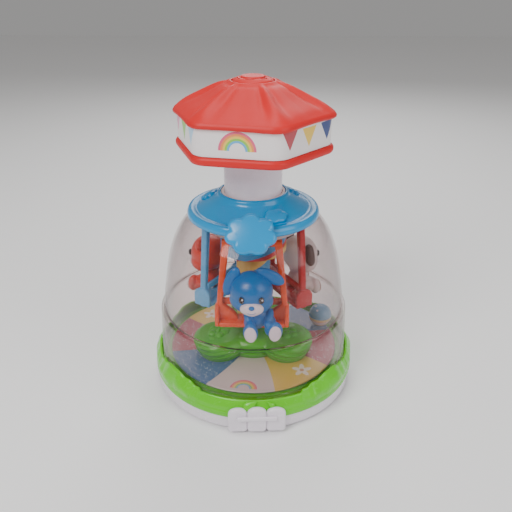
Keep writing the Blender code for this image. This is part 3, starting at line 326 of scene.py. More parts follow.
def slab(name, outline, lowest, highest, edge=0.6 * MM, segments=3):
    """A flat outline with thickness along Z and rounded rims."""
    bpy.ops.object.select_all(action="DESELECT")
    bpy.ops.mesh.primitive_circle_add(vertices=len(outline), radius=1, fill_type="NGON")
    obj = named(name)
    for vertex, (x, y) in zip(obj.data.vertices, outline):
        vertex.co = (x, y, lowest)
    edit(obj)
    bpy.ops.mesh.extrude_region_move(TRANSFORM_OT_translate={"value": (0, 0, highest - lowest)})
    bpy.ops.mesh.select_all(action="SELECT")
    bpy.ops.mesh.normals_make_consistent(inside=False)
    pick(lambda e: e.calc_face_angle(0) > math.radians(50), "EDGE")
    bpy.ops.mesh.bevel(offset=edge, offset_type="OFFSET", segments=segments, affect="EDGES")
    done()
    return obj


def tube_along(name, points, radius, smooth=4):
    """A round wire through its points, as a mesh."""
    curve = bpy.data.curves.new(name, "CURVE")
    curve.dimensions = "3D"
    curve.bevel_depth = radius
    curve.bevel_resolution = smooth
    curve.use_fill_caps = True
    spline = curve.splines.new("POLY")
    spline.points.add(len(points) - 1)
    for point, place in zip(spline.points, points):
        point.co = (*place, 1)
    obj = bpy.data.objects.new(name, curve)
    bpy.context.scene.collection.objects.link(obj)
    only(obj)
    bpy.ops.object.convert(target="MESH")
    return bpy.context.object


def cylinder(name, radius, depth, vertices=32, **place):
    bpy.ops.object.select_all(action="DESELECT")
    bpy.ops.mesh.primitive_cylinder_add(radius=radius, depth=depth, vertices=vertices, **place)
    return named(name)


def cut(obj, cutter):
    """Takes the cutter's shape out of an object, and removes the cutter."""
    apply_modifier(obj, "BOOLEAN", operation="DIFFERENCE", solver="EXACT", object=cutter)
    bpy.data.objects.remove(cutter)


def finish(obj, body, slot, surface, *nodes, angle=38):
    """Shades a finished piece, gives it its surface and fastens it to its body."""
    freeze(obj)
    bpy.ops.object.shade_smooth_by_angle(angle=math.radians(angle))
    if obj.data.materials:
        obj.data.materials[0] = surface
    else:
        obj.data.materials.append(surface)
    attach(obj, body)
    if nodes:
        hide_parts(*nodes)
    return obj


def dress(surface, *nodes):
    """Gives CAD nodes that keep their shape a finished surface."""
    for node in nodes:
        for slot in frame["nodes"][node].material_slots:
            slot.material = surface


# ---------------------------------------------------------------- surfaces


class Value:
    """A shader socket that takes part in ordinary arithmetic."""

    def __init__(self, surface, socket):
        self.surface = surface
        self.socket = socket

    def math(self, operation, *others, clamp=False):
        settings = {"operation": operation, "use_clamp": clamp}
        return self.surface.node("ShaderNodeMath", settings, dict(enumerate((self, *others))))

    def __add__(self, other):
        return self.math("ADD", other)

    __radd__ = __add__

    def __mul__(self, other):
        return self.math("MULTIPLY", other)

    __rmul__ = __mul__

    def __sub__(self, other):
        return self.math("SUBTRACT", other)

    def __rsub__(self, other):
        return self.surface.node("ShaderNodeMath", {"operation": "SUBTRACT"}, {0: other, 1: self})

    def __truediv__(self, other):
        return self.math("DIVIDE", other)

    def __pow__(self, other):
        return self.math("POWER", other)

    def __lt__(self, other):
        return self.math("LESS_THAN", other)

    def __gt__(self, other):
        return self.math("GREATER_THAN", other)

    def __abs__(self):
        return self.math("ABSOLUTE")

    def __mod__(self, other):
        return self.math("FLOORED_MODULO", other)

    def floor(self):
        return self.math("FLOOR")

    def cos(self):
        return self.math("COSINE")

    def tan(self):
        return self.math("TANGENT")

    def root(self):
        return self.math("SQRT")

    def clamped(self):
        return self.math("ADD", 0.0, clamp=True)


class Surface:
    """A material while its nodes are being laid."""

    def __init__(self, name):
        self.material = bpy.data.materials.new(name)
        self.material.use_nodes = True
        self.tree = self.material.node_tree
        self.shader = self.tree.nodes["Principled BSDF"]

    def plug(self, socket, value):
        if isinstance(value, Value):
            self.tree.links.new(value.socket, socket)
        else:
            socket.default_value = value

    def node(self, kind, settings=None, inputs=None, output=0):
        """Adds any node: its settings first, then its sockets' values or links."""
        made = self.tree.nodes.new(kind)
        settings = dict(settings or {})
        stops = settings.pop("stops", None)
        for name, value in settings.items():
            setattr(made, name, value)
        if stops:
            self.set_stops(made.color_ramp, stops)
        for name, value in (inputs or {}).items():
            self.plug(made.inputs[name], value)
        return Value(self, made.outputs[output])

    @staticmethod
    def set_stops(ramp, stops):
        ramp.interpolation = "CONSTANT"
        while len(ramp.elements) < len(stops):
            ramp.elements.new(1.0)
        for element, (place, colour) in zip(ramp.elements, stops):
            element.position = place
            element.color = (*colour[:3], 1)

    def places(self):
        return self.node("ShaderNodeTexCoord", output="Object")

    def axes(self):
        """The place on the piece as three values, in metres."""
        split = self.node("ShaderNodeSeparateXYZ", inputs={0: self.places()})
        return [Value(self, split.socket.node.outputs[i]) for i in range(3)]

    def bearing(self, across, ahead):
        """The angle of a place from straight ahead, in radians."""
        return self.node("ShaderNodeMath", {"operation": "ARCTAN2"}, {0: across, 1: ahead})

    def cells(self, scale, output=0):
        """Scattered cells: the distance to the nearest one's heart, or with output 1 a colour for each."""
        inputs = {"Vector": self.places(), "Scale": scale}
        return self.node("ShaderNodeTexVoronoi", {"feature": "F1"}, inputs, output)

    def noise(self, scale, detail=2.0, roughness=0.5, stretch=None, distortion=0.0):
        places = self.places()
        if stretch:
            places = self.node("ShaderNodeMapping", inputs={"Vector": places, "Scale": stretch})
        inputs = {"Vector": places, "Scale": scale, "Detail": detail, "Roughness": roughness}
        inputs["Distortion"] = distortion
        return self.node("ShaderNodeTexNoise", inputs=inputs)

    def mix(self, factor, first, second):
        """Colour first where the factor is 0, and second where it is 1."""
        colours = [c if isinstance(c, Value) else (*c[:3], 1) for c in (first, second)]
        inputs = {0: factor, 6: colours[0], 7: colours[1]}
        return self.node("ShaderNodeMix", {"data_type": "RGBA"}, inputs, output=2)

    def bump(self, height, strength, distance):
        inputs = {"Height": height, "Strength": strength, "Distance": distance}
        return self.node("ShaderNodeBump", inputs=inputs)

    def set(self, **values):
        for name, value in values.items():
            socket = name.replace("_", " ").title().replace("Ior", "IOR")
            self.plug(self.shader.inputs[socket], value)


def shaded(colour, share):
    """A darker or lighter shade of a colour."""
    return tuple(min(1.0, c * share) for c in colour[:3])


def moulded(name, colour, roughness=0.26, grain=0.12, coat=0.25, base=None):
    """Glossy moulded plastic: faint flow marks, handling smudges and the fine ripple of the mould."""
    surface = Surface(name)
    flow = surface.noise(22, detail=3, stretch=(1, 1, 2.4), distortion=0.6)
    tone = surface.mix(flow, shaded(colour, 0.93), shaded(colour, 1.05))
    if base:
        tone = base(surface)
        tone = surface.mix(flow * 0.12, tone, shaded((1, 1, 1), 0.85))
    smudge = surface.noise(75, detail=4, roughness=0.62)
    hairline = surface.noise(260, detail=1, stretch=(1, 7, 1))
    worn = (smudge - 0.45).clamped() * 0.22 + (hairline - 0.6).clamped() * 0.25
    ripple = surface.noise(950, detail=2)
    wave = surface.noise(130, detail=1)
    surface.set(base_color=tone, roughness=worn + roughness, specular_ior_level=0.4)
    surface.set(coat_weight=coat * 0.6, coat_roughness=0.12)
    surface.set(normal=surface.bump(ripple * 0.5 + wave, grain, 0.3 * MM))
    return surface.material


def vinyl(name, colour):
    """Soft painted vinyl of a toy figure: satin, a little darker in its brushed patches."""
    surface = Surface(name)
    patch = surface.noise(45, detail=3, distortion=0.4)
    speck = (surface.noise(420, detail=2) - 0.62).clamped() * 1.6
    tone = surface.mix(patch, shaded(colour, 0.88), shaded(colour, 1.08))
    tone = surface.mix(speck, tone, shaded(colour, 1.5))
    surface.set(base_color=tone, roughness=surface.noise(90, detail=3) * 0.16 + 0.3)
    surface.set(coat_weight=0.3, coat_roughness=0.2, subsurface_weight=0.04, subsurface_scale=0.004)
    surface.set(normal=surface.bump(surface.noise(620, detail=3), 0.16, 0.25 * MM))
    return surface.material


def metal(name, colour, roughness, stretch):
    """Drawn or turned steel with fine marks along its length."""
    surface = Surface(name)
    marks = surface.noise(500, detail=3, stretch=stretch)
    tone = surface.mix(marks, shaded(colour, 0.8), shaded(colour, 1.1))
    surface.set(base_color=tone, metallic=1.0, roughness=marks * 0.2 + roughness)
    surface.set(normal=surface.bump(marks, 0.2, 0.1 * MM))
    return surface.material


def rubber(name):
    """Black rubber with a dusty bloom."""
    surface = Surface(name)
    bloom = surface.noise(180, detail=4)
    surface.set(base_color=surface.mix(bloom, (0.012, 0.012, 0.013), (0.045, 0.044, 0.043)))
    surface.set(roughness=bloom * 0.25 + 0.65)
    surface.set(normal=surface.bump(surface.noise(1400, detail=2), 0.5, 0.2 * MM))
    return surface.material


def clear(name, tint, least, most, scuff=0.02):
    """Clear moulded plastic: mostly see-through, and more like a mirror towards its outline."""
    surface = Surface(name)
    facing = surface.node("ShaderNodeLayerWeight", inputs={"Blend": 0.5}, output="Facing")
    scratches = surface.noise(320, detail=3, stretch=(1, 1, 9))
    smear = surface.noise(26, detail=4, distortion=0.8)
    worn = (scratches - 0.62).clamped() * scuff * 2 + (smear - 0.52).clamped() * scuff * 3
    share = (facing**2.6 * (most - least) + worn + least).clamped()
    surface.set(base_color=surface.mix(smear, shaded(tint, 0.56), shaded(tint, 0.66)))
    surface.set(roughness=worn * 0.5 + 0.05, metallic=0.7, specular_ior_level=1.0)
    surface.set(normal=surface.bump(surface.noise(55, detail=2), 0.05, 0.4 * MM))
    through = surface.node("ShaderNodeBsdfTransparent", inputs={0: (*tint, 1)})
    shader = Value(surface, surface.shader.outputs[0])
    mixed = surface.node("ShaderNodeMixShader", inputs={0: share, 1: through, 2: shader})
    surface.plug(surface.tree.nodes["Material Output"].inputs["Surface"], mixed)
    return surface.material


def rainbow(surface, across, up, outer):
    """An arch of five bands: how far a place is inside it, and its colour there."""
    hole = 0.42
    reach = (across * across + up * up).root()
    inside = (reach < outer) * (reach > outer * hole) * (up > 0)
    band = (1 - reach / outer) / (1 - hole)
    stops = [(i * 0.2, PRINT[name]) for i, name in enumerate(("pink", "orange", "sun", "leaf", "sky"))]
    return inside, surface.node("ShaderNodeValToRGB", {"stops": stops}, {0: band})


# Inks of the hat's band and the rainbows
PRINT = {
    "white": (0.88, 0.83, 0.83),
    "pink": (0.78, 0.08, 0.20),
    "orange": (0.88, 0.27, 0.06),
    "sun": (0.90, 0.60, 0.07),
    "leaf": (0.25, 0.62, 0.05),
    "sky": (0.10, 0.42, 0.75),
    "pale": (0.42, 0.66, 0.88),
    "navy": (0.02, 0.05, 0.22),
    "teal": (0.02, 0.38, 0.45),
    "blush": (0.85, 0.32, 0.50),
    "brick": (0.48, 0.03, 0.05),
}


# ---------------------------------------------------------------- what a user would change


def colour(name, description, default):
    return FloatVectorProperty(
        name=name, description=description, default=default, subtype="COLOR", size=3, min=0, max=1
    )


def length(name, description, default):
    return FloatProperty(
        name=name, description=description, default=default, subtype="DISTANCE", unit="LENGTH", min=0
    )


class CarouselSizes(bpy.types.PropertyGroup):
    turn_steps: IntProperty(
        name="Turned steps", description="Sides of each turned piece", default=144, min=24, max=360
    )
    hat_turn: FloatProperty(
        name="Hat turn", description="How far the hat is turned from the front, in degrees", default=-10.0
    )
    hat_round: length("Hat corners", "Rounding of the hexagonal hat's corners", 14 * MM)
    hem_wave: length("Hem wave", "How far the roof's hem dips at the corners", 0.9 * MM)
    puff: length("Cloud puff", "Thickness of the stop button's cloud", 7 * MM)
    skin_grain: length("Skin grain", "Size of the facets in melted figures", 0.42 * MM)


class CarouselColours(bpy.types.PropertyGroup):
    white: colour("White", "Base pan, fences and stem", (0.84, 0.78, 0.85))
    lime: colour("Lime", "Base cover", (0.12, 0.60, 0.003))
    leaf: colour("Leaf", "Three-lobed platform", (0.07, 0.50, 0.006))
    red: colour("Red", "Roof and rim of the hat", (0.68, 0.012, 0.012))
    blue: colour("Blue", "Collar, cloud and column", (0.0, 0.29, 0.62))
    orange: colour("Orange", "Front swing", (0.92, 0.095, 0.012))
    sky: colour("Sky", "Left swing", (0.12, 0.50, 0.88))
    crimson: colour("Crimson", "Right swing", (0.58, 0.010, 0.012))
    bunny: colour("Bunny", "Floppy-eared figure", (0.0, 0.19, 0.56))
    coral: colour("Coral", "Round-eared figure", (0.80, 0.055, 0.025))
    cream: colour("Cream", "Pale figure", (0.72, 0.62, 0.60))
    brown: colour("Brown", "Ears of the pale figure", (0.085, 0.035, 0.022))
    clear: colour("Clear", "Tint of the dome", (0.955, 0.915, 0.915))


def sizes():
    return bpy.context.scene.carousel_sizes


def colours():
    return bpy.context.scene.carousel_colours


# ---------------------------------------------------------------- base


FENCE_AT = (3.5, 183.5)
COVER_FOOT = 13 * MM
# Angle of each grassy hill, and its share of the full height
HILLS = ((50, 1.0), (92, 0.6), (127, 0.9), (233, 0.9), (268, 0.6), (310, 1.0))
HILL_HALF_ANGLE = 22.5


def hill(angle):
    """Share of the full hill height at an angle: each flank climbs in three rounded steps, like leaves."""
    tallest = 0
    for centre, share in HILLS:
        away = apart(angle, centre) / HILL_HALF_ANGLE
        step = 0.30 if away < 0.90 else 0
        step += 0.34 * unit((0.72 - away) / 0.12) ** 0.6
        step += 0.36 * unit((0.40 - away) / 0.22) ** 0.7
        tallest = max(tallest, share * step)
    return tallest


class CAROUSEL_OT_base_pan(bpy.types.Operator):
    """White pan under the toy, with a picket fence at the front and the back"""

    bl_idname = "carousel.base_pan"
    bl_label = "Base pan"

    def execute(self, context):
        radius = 86 * MM
        top = COVER_FOOT - GAP
        foot = low("base_pan").z
        inside = foot + 2.5 * MM
        profile = (
            (0, foot, 0),
            (30 * MM, foot, 0),
            (31 * MM, foot + 0.6 * MM, 0.4 * MM),
            (66 * MM, foot + 0.6 * MM, 0.4 * MM),
            (67 * MM, foot, 0),
            (radius - 2.0 * MM, foot, 1.4 * MM),
            (radius - 0.6 * MM, foot + 1.4 * MM, 1.4 * MM),
            (radius, top - 0.8 * MM, 0.6 * MM),
            (radius - 0.6 * MM, top, 0.4 * MM),
            (radius - 2.2 * MM, top, 0.3 * MM),
            (radius - 2.8 * MM, inside, 0.8 * MM),
            (7 * MM, inside, 0.3 * MM),
            (7 * MM, 8 * MM, 0.3 * MM),
            (2.8 * MM, 8 * MM, 0.2 * MM),
            (2.8 * MM, inside - MM, 0),
            (0, inside - MM, 0),
        )
        pan = turned("pan", rounded(profile, closed=False), closed=False)
        fences = [self.fence(angle) for angle in FENCE_AT]
        pan = union("base_shell", [pan, *fences])
        white = moulded("Glossy white plastic", colours().white, roughness=0.24)
        finish(pan, "base", "white_shell", white, "base_pan")
        return {"FINISHED"}

    def fence(self, angle):
        """Three round-topped pickets, the middle one forward, and the rail across them."""
        depth = 88.9 * MM
        pieces = [self.picket(k, depth) for k in (-1, 0, 1)]
        half, height, middle = 16 * MM, 1.9 * MM, 16.3 * MM
        outline = []
        for side, turn in ((1, -90), (-1, 90)):
            outline += arc((side * (half - height), middle), (height, height), turn, turn + 180, 8)
        pieces.append(slab("rail", outline, depth, depth + 2.5 * MM, edge=1.1 * MM, segments=4))
        pieces.append(bar("web", (-18 * MM, 3.4 * MM, 83 * MM), (18 * MM, 11 * MM, depth - 2 * MM)))
        fence = union("fence", pieces)
        move(fence, turned_by(angle, "Z") @ turned_by(90, "X"))
        return fence

    def picket(self, k, depth):
        """A picket with rounded lower corners and an arched top; the middle one is taller and stands out."""
        width = 15.6 * MM
        half = width / 2 - 0.2 * MM
        corner = 3.2 * MM
        arch_height = width * 0.4
        lift, forward = (1.2 * MM, MM) if k == 0 else (0, 0)
        middle = k * (width - 0.6 * MM)
        lowest = 2.2 * MM + lift / 2
        shoulder = 24.5 * MM + lift - arch_height
        outline = []
        for start, side in ((180, -1), (270, 1)):
            centre = (middle + side * (half - corner), lowest + corner)
            outline += arc(centre, (corner, corner), start, start + 90, 6)
        for i in range(13):
            a = math.pi * i / 12
            arch = max(math.sin(a), 0) ** 0.75
            outline.append((middle + half * math.cos(a), shoulder + arch_height * arch))
        front = depth + forward
        return slab(f"picket_{k}", outline, front - 4.4 * MM, front, edge=1.9 * MM, segments=5)


class CAROUSEL_OT_base_cover(bpy.types.Operator):
    """Lime cover with grassy hills round the foot of the skirt"""

    bl_idname = "carousel.base_cover"
    bl_label = "Base cover"

    def execute(self, context):
        foot = COVER_FOOT
        deck = 25.5 * MM
        bore = 81.3 * MM
        crest = 28.3 * MM
        profile = (
            (86.4 * MM, foot, 0.3 * MM),
            (87 * MM, foot + 1.2 * MM, 0.8 * MM),
            (87 * MM, foot + 4.6 * MM, 1.6 * MM),
            (86.2 * MM, foot + 6.0 * MM, 0.5 * MM),
            (85.9 * MM, foot + 8.6 * MM, 1.5 * MM),
            (84.4 * MM, crest - 3.6 * MM, 2.0 * MM),
            (83.0 * MM, crest - 0.5 * MM, 1.0 * MM),
            (82.0 * MM, crest, 0.5 * MM),
            (bore, crest - 0.6 * MM, 0.4 * MM),
            (bore, deck, 0.5 * MM),
            (28 * MM, deck, 0.3 * MM),
            (28 * MM, deck - 2 * MM, 0.3 * MM),
            (bore - MM, deck - 2 * MM, 0),
            (83.8 * MM, deck - 6 * MM, 0),
            (84.2 * MM, foot, 0.3 * MM),
        )
        cover = turned("cover", rounded(profile), steps=360)
        reshape(cover, self.grassy(foot, crest, bore))
        for angle in FENCE_AT:
            lowest, highest = (-24.4 * MM, -96 * MM, foot - MM), (24.4 * MM, -85.4 * MM, 29 * MM)
            notch = bar("notch", lowest, highest, edge=0.2 * MM)
            move(notch, turned_by(angle, "Z"))
            cut(cover, notch)
        leaves = [self.leaf(angle, lean, size) for angle, lean, size in self.leaf_places()]
        bosses = [self.boss(angle, low("base_cover").z, deck - MM) for angle in (60, 180, 300)]
        cover = union("grass_cover", [cover, *leaves, *bosses])
        lime = moulded("Glossy lime plastic", colours().lime, roughness=0.24, coat=0.35)
        finish(cover, "base", "green_shell", lime, "base_cover")
        return {"FINISHED"}

    def grassy(self, foot, crest, bore):
        """The rule that raises the crest into scalloped hills and swells the flank under them."""

        def rule(radius, angle, height):
            if radius < bore - 0.1 * MM or height < foot + 5 * MM:
                return radius, angle, height
            share = unit((height - foot - 5 * MM) / (crest - foot - 6 * MM))
            tall = hill(angle)
            scallop = abs(math.sin(math.radians(angle * 8 + 20))) ** 0.8 * min(1, tall * 2)
            rise = 9 * MM * (tall * 0.94 + 0.08 * scallop) * share**1.3
            flank = 1 - abs(2 * share - 1)
            outer = unit((radius - bore - MM) / (2 * MM))
            swell = (1.9 * tall + 1.2 * tall * scallop) * MM * outer * (0.35 + flank)
            ripple = 0.5 * MM * flank * math.sin(math.radians(angle * 11 + share * 200))
            return radius + swell + ripple * (0.25 + tall) * outer, angle, height + rise

        return rule

    def boss(self, angle, foot, top):
        """A hollow post that takes one of the screws through the pan."""
        outer, bore, edge = 4 * MM, 1.6 * MM, 0.3 * MM
        profile = ((outer, foot, edge), (outer, top, 0), (bore, top, 0), (bore, foot, edge))
        boss = turned("boss", rounded(profile), steps=48)
        move(boss, Matrix.Translation((*around(58 * MM, angle), 0)))
        return boss

    def leaf_places(self):
        """Angle, lean and size of the two leaves above each fence."""
        pair = ((-3.5, 62, 1.0), (7.5, -50, 0.62))
        return [(fence + offset, lean, size) for fence in FENCE_AT for offset, lean, size in pair]

    def leaf(self, angle, lean, size):
        """A leaf-shaped pad lying on the cover's flank."""
        half_length = 6.0 * MM * size
        leaf = blob("leaf", (0, 0, 0), (3.4 * MM * size, 1.9 * MM, half_length))
        for vertex in leaf.data.vertices:
            point = (vertex.co.z / half_length + 1) / 2
            vertex.co.x *= 1.25 * max(0, 1 - point) ** 0.5 + 0.12
        place = Matrix.Translation((*around(84.9 * MM, angle), 25.4 * MM))
        move(leaf, place @ turned_by(angle, "Z") @ turned_by(-28, "X") @ turned_by(lean, "Y"))
        return leaf


class CAROUSEL_OT_base_fittings(bpy.types.Operator):
    """Rubber feet, the pivot pin and every screw"""

    bl_idname = "carousel.base_fittings"
    bl_label = "Feet, pin and screws"

    def execute(self, context):
        dress(rubber("Black rubber"), "rubber_foot_1", "rubber_foot_2", "rubber_foot_3", "brake_pad")
        drawn = metal("Drawn steel", (0.60, 0.60, 0.62), 0.22, (8, 8, 0.4))
        dress(drawn, "pivot_pin", "brake_pin", "swing_pin_front", "swing_pin_left", "swing_pin_right")
        bright = metal("Zinc-plated steel", (0.66, 0.66, 0.68), 0.26, (1, 1, 6))
        bodies = {"base": "base", "hat": "plunger", "carousel": "carousel"}
        for group, body in bodies.items():
            for number in (1, 2, 3):
                self.screw(f"{group}_screw_{number}", body, bright)
        return {"FINISHED"}

    def screw(self, node, body, steel):
        """A pan-head screw with a cross recess and a threaded shank."""
        lowest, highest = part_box(node)
        middle = (lowest + highest) / 2
        head, head_radius = 1.2 * MM, 3 * MM
        root, crest, pitch = 0.9 * MM, 1.2 * MM, 0.9 * MM
        tall = highest.z - lowest.z
        profile = [
            (0, 0, 0),
            (1.9 * MM, 0, 0.3 * MM),
            (head_radius, 0.5 * MM, 0.4 * MM),
            (head_radius, head, 0.2 * MM),
            (1.15 * MM, head, 0.1 * MM),
        ]
        for i in range(max(3, round((tall - 2.6 * MM) / pitch))):
            z = head + 0.5 * MM + i * pitch
            profile += [(root, z, 0), (crest, z + 0.4 * MM, 0), (root, z + 0.8 * MM, 0)]
        profile.append((0, tall, 0))
        screw = turned("screw", rounded(profile, closed=False), steps=32, closed=False)
        cross = [(1.7, 0.28), (0.28, 0.28), (0.28, 1.7), (-0.28, 1.7), (-0.28, 0.28), (-1.7, 0.28)]
        outline = [(x * MM, y * MM) for x, y in cross + [(-x, -y) for x, y in cross]]
        cut(screw, slab("recess", outline, -MM, 0.75 * MM, edge=0.05 * MM, segments=1))
        move(screw, Matrix.Translation((middle.x, middle.y, lowest.z)))
        screw.name = f"{node}_detailed"
        finish(screw, body, "steel", steel, node, angle=30)


# ---------------------------------------------------------------- clear housing


WALL = 1.8 * MM
# Radius, and height above the foot, of the dome's outer face, in millimetres
DOME_OUTLINE = (
    (76.5, 0),
    (75.5, 13.5),
    (73.2, 29),
    (70, 46.5),
    (64.8, 62.5),
    (58.4, 74),
    (52, 80.5),
    (44, 84.4),
    (34, 86.2),
    (27, 86.8),
)


class CAROUSEL_OT_housing(bpy.types.Operator):
    """Clear skirt and clear dome"""

    bl_idname = "carousel.housing"
    bl_label = "Clear housing"

    def execute(self, context):
        pane = clear("Clear smoky plastic", colours().clear, least=0.028, most=0.70)
        # Painted shade: a dark, less clear surface for the faces at the seam between skirt and dome, standing
        # in for the shadow of the seam gap seen through the clear plastic.
        rim = clear("Clear plastic edge", (0.28, 0.20, 0.17), least=0.40, most=0.95)
        self.skirt(clear("Clear plastic", colours().clear, least=0.025, most=0.62), rim)
        self.dome(pane, rim)
        return {"FINISHED"}

    def skirt(self, pane, rim):
        foot, top = low("dome_skirt").z, high("dome_skirt").z
        profile = (
            (81.0 * MM, foot, 0.4 * MM),
            (81.0 * MM, foot + 2 * MM, 1.0 * MM),
            (79.4 * MM, top - 0.4 * MM, 0.3 * MM),
            (79.0 * MM, top, 0.3 * MM),
            (74.5 * MM, top, 0.3 * MM),
            (74.5 * MM, top - WALL, 0.3 * MM),
            (77.6 * MM, top - WALL, 0.8 * MM),
            (79.2 * MM, foot + WALL, 0.8 * MM),
            (76.5 * MM, foot + WALL, 0.3 * MM),
            (76.5 * MM, foot, 0.3 * MM),
        )
        skirt = turned("clear_skirt", rounded(profile))
        skirt.data.materials.append(pane)

        # The skirt's top faces at the seam take the painted seam shade.
        def on_lip(place):
            return abs(place.z - top) < 0.2 * MM and 76.8 * MM < place.xy.length < 78.8 * MM

        self.edge(skirt, rim, on_lip)
        finish(skirt, "base", "clear_skirt", pane, "dome_skirt")

    def dome(self, pane, rim):
        foot = low("dome").z
        outline = flowing([(r * MM, foot + z * MM) for r, z in DOME_OUTLINE], steps=5)
        inner = []
        for before, here, after in zip(outline, outline[1:], outline[2:]):
            along = (Vector(after) - Vector(before)).normalized()
            inner.append((here[0] - along.y * WALL, here[1] + along.x * WALL))
        inner = [(outline[0][0] - WALL, foot), *inner, (27 * MM, outline[-1][1] - WALL)]
        dome = turned("clear_dome", [*outline, *inner[::-1]])
        cut(dome, button_slot(138 * MM))
        dome.data.materials.append(pane)
        # The dome's foot faces take the painted seam shade as well.
        self.edge(dome, rim, lambda place: place.z < foot + 0.2 * MM)
        finish(dome, "base", "clear_dome", pane, "dome")

    def edge(self, obj, rim, test):
        """Painted shade: the faces that pass the test get the dark, less clear edge surface, which reads as a
        darker line and stands in for the shadow of the seam gap seen through the clear plastic.
        """
        obj.data.materials.append(rim)
        for face in obj.data.polygons:
            face.material_index = 0
        edit(obj)
        pick(lambda face: test(face.calc_center_median()), "FACE")
        obj.active_material_index = 1
        bpy.ops.object.material_slot_assign()
        done()


# ---------------------------------------------------------------- collar and stop button


def button_slot(lowest):
    """Cutter for the slot that the stop button's arm passes through."""
    return bar("slot", (-4.5 * MM, -60 * MM, lowest), (4.5 * MM, -40.6 * MM, 161.2 * MM), edge=0.4 * MM)


def cloud(name, width, height, depth, bumps=7):
    """A plump cloud lying in X and Y: a scalloped outline with a domed face."""
    outline = []
    steps = 16
    for i in range(bumps * steps):
        a = math.radians(-90 + 360 * i / (bumps * steps))
        share = 0.80 + 0.20 * math.sin(math.pi * (i / steps % 1)) ** 0.7
        outline.append((width / 2 * share * math.cos(a), height / 2 * share * math.sin(a)))
    made = slab(name, outline, -depth / 2, depth / 2, edge=depth * 0.34, segments=6)
    apply_modifier(made, "REMESH", mode="VOXEL", voxel_size=depth / 14)
    for vertex in made.data.vertices:
        x, y, z = vertex.co
        out = math.hypot(x / (width / 2), y / (height / 2))
        vertex.co.z = z + (0.22 * depth * (1 - out * out) if z > 0 else 0)
    apply_modifier(made, "SMOOTH", factor=0.6, iterations=10)
    return made


class CAROUSEL_OT_collar(bpy.types.Operator):
    """Blue collar with small clouds, and the bush that guides the stem"""

    bl_idname = "carousel.collar"
    bl_label = "Collar"

    def execute(self, context):
        foot, top = low("collar").z, high("collar").z
        outer = 53.2 * MM
        profile = (
            (25.8 * MM, top - 0.4 * MM, 0.3 * MM),
            (26.6 * MM, top, 0.5 * MM),
            (28.4 * MM, top - 1.0 * MM, 1.0 * MM),
            (29.4 * MM, top - 4.4 * MM, 2.4 * MM),
            (37 * MM, 163.3 * MM, 6 * MM),
            (45.4 * MM, 158.4 * MM, 2 * MM),
            (47.6 * MM, 159.5 * MM, 2 * MM),
            (51.4 * MM, 159.7 * MM, 3 * MM),
            (outer, 156.4 * MM, 2 * MM),
            (outer, 153.4 * MM, 1.5 * MM),
            (outer - 1.2 * MM, foot + 0.6 * MM, 0.5 * MM),
            (43 * MM, foot + 5.4 * MM, 0.6 * MM),
            (36 * MM, foot + 8.4 * MM, 1.0 * MM),
            (34 * MM, 161.3 * MM, 1.0 * MM),
            (25.8 * MM, 165.5 * MM, 0.3 * MM),
        )
        collar = turned("collar_ring", rounded(profile))
        cut(collar, button_slot(140 * MM))
        clouds = []
        for angle in (28, 128, 250):
            puff = cloud("small_cloud", 20 * MM, 14.4 * MM, 5.2 * MM, bumps=6)
            place = turned_by(angle, "Z") @ Matrix.Translation((0, -38 * MM, 161.9 * MM))
            move(puff, place @ turned_by(30, "X"))
            clouds.append(puff)
        collar = union("cloudy_collar", [collar, *clouds])
        blue = moulded("Glossy blue plastic", colours().blue, roughness=0.2, coat=0.4)
        finish(collar, "base", "blue_shell", blue, "collar")
        natural = moulded("Natural plastic", (0.70, 0.68, 0.63), roughness=0.42, coat=0.0)
        dress(natural, "guide_bush")
        return {"FINISHED"}


class CAROUSEL_OT_stop_button(bpy.types.Operator):
    """Big cloud pressed to stop the carousel, with its rocking arm"""

    bl_idname = "carousel.stop_button"
    bl_label = "Stop button"

    def execute(self, context):
        pivot = Vector(joint("stop_press")["pos_m"])
        big = cloud("big_cloud", 38.5 * MM, 31.5 * MM, sizes().puff)
        centre = pivot + Vector((0, -9.4 * MM, 2.6 * MM)) - Vector((0, -0.82, 0.57)) * 2.2 * MM
        move(big, Matrix.Translation(centre) @ turned_by(55, "X"))
        half = 4 * MM
        arm = bar("arm", (-half, -9 * MM, -1.5 * MM), (half, 2.2 * MM, 1.5 * MM))
        inner_arm = bar("arm_inner", (-half, -0.5 * MM, -4 * MM), (half, 8.8 * MM, -1.1 * MM))
        tip = bar("arm_tip", (-half, -1.6 * MM, -12 * MM), (half, 0, -3 * MM))
        for piece in (arm, inner_arm):
            move(piece, Matrix.Translation(pivot))
        move(tip, Matrix.Translation((0, low("brake_pad").y - GAP, pivot.z)))
        button = union("cloud_button", [big, arm, inner_arm, tip])
        blue = bpy.data.materials["Glossy blue plastic"]
        finish(button, "stop_button", "blue_shell", blue, "brake_button")
        return {"FINISHED"}


# ---------------------------------------------------------------- hat


def hexagon(corner, roundness, angle):
    """Radius at an angle of a hexagon with rounded corners and a flat side in front."""
    thirty = math.radians(30)
    flat = corner * math.cos(thirty) + roundness * (1 - math.cos(thirty))
    centre = (flat - roundness) / math.cos(thirty)
    off = (angle + 30) % 60 - 30
    if abs(off) <= math.degrees(math.atan((flat - roundness) * math.tan(thirty) / flat)):
        return flat / math.cos(math.radians(off))
    away = math.radians(30 - abs(off))
    return centre * math.cos(away) + math.sqrt(roundness**2 - (centre * math.sin(away)) ** 2)


def toward_corner(angle):
    """0 at the middle of a side and 1 at a corner."""
    return abs((angle + 30) % 60 - 30) / 30


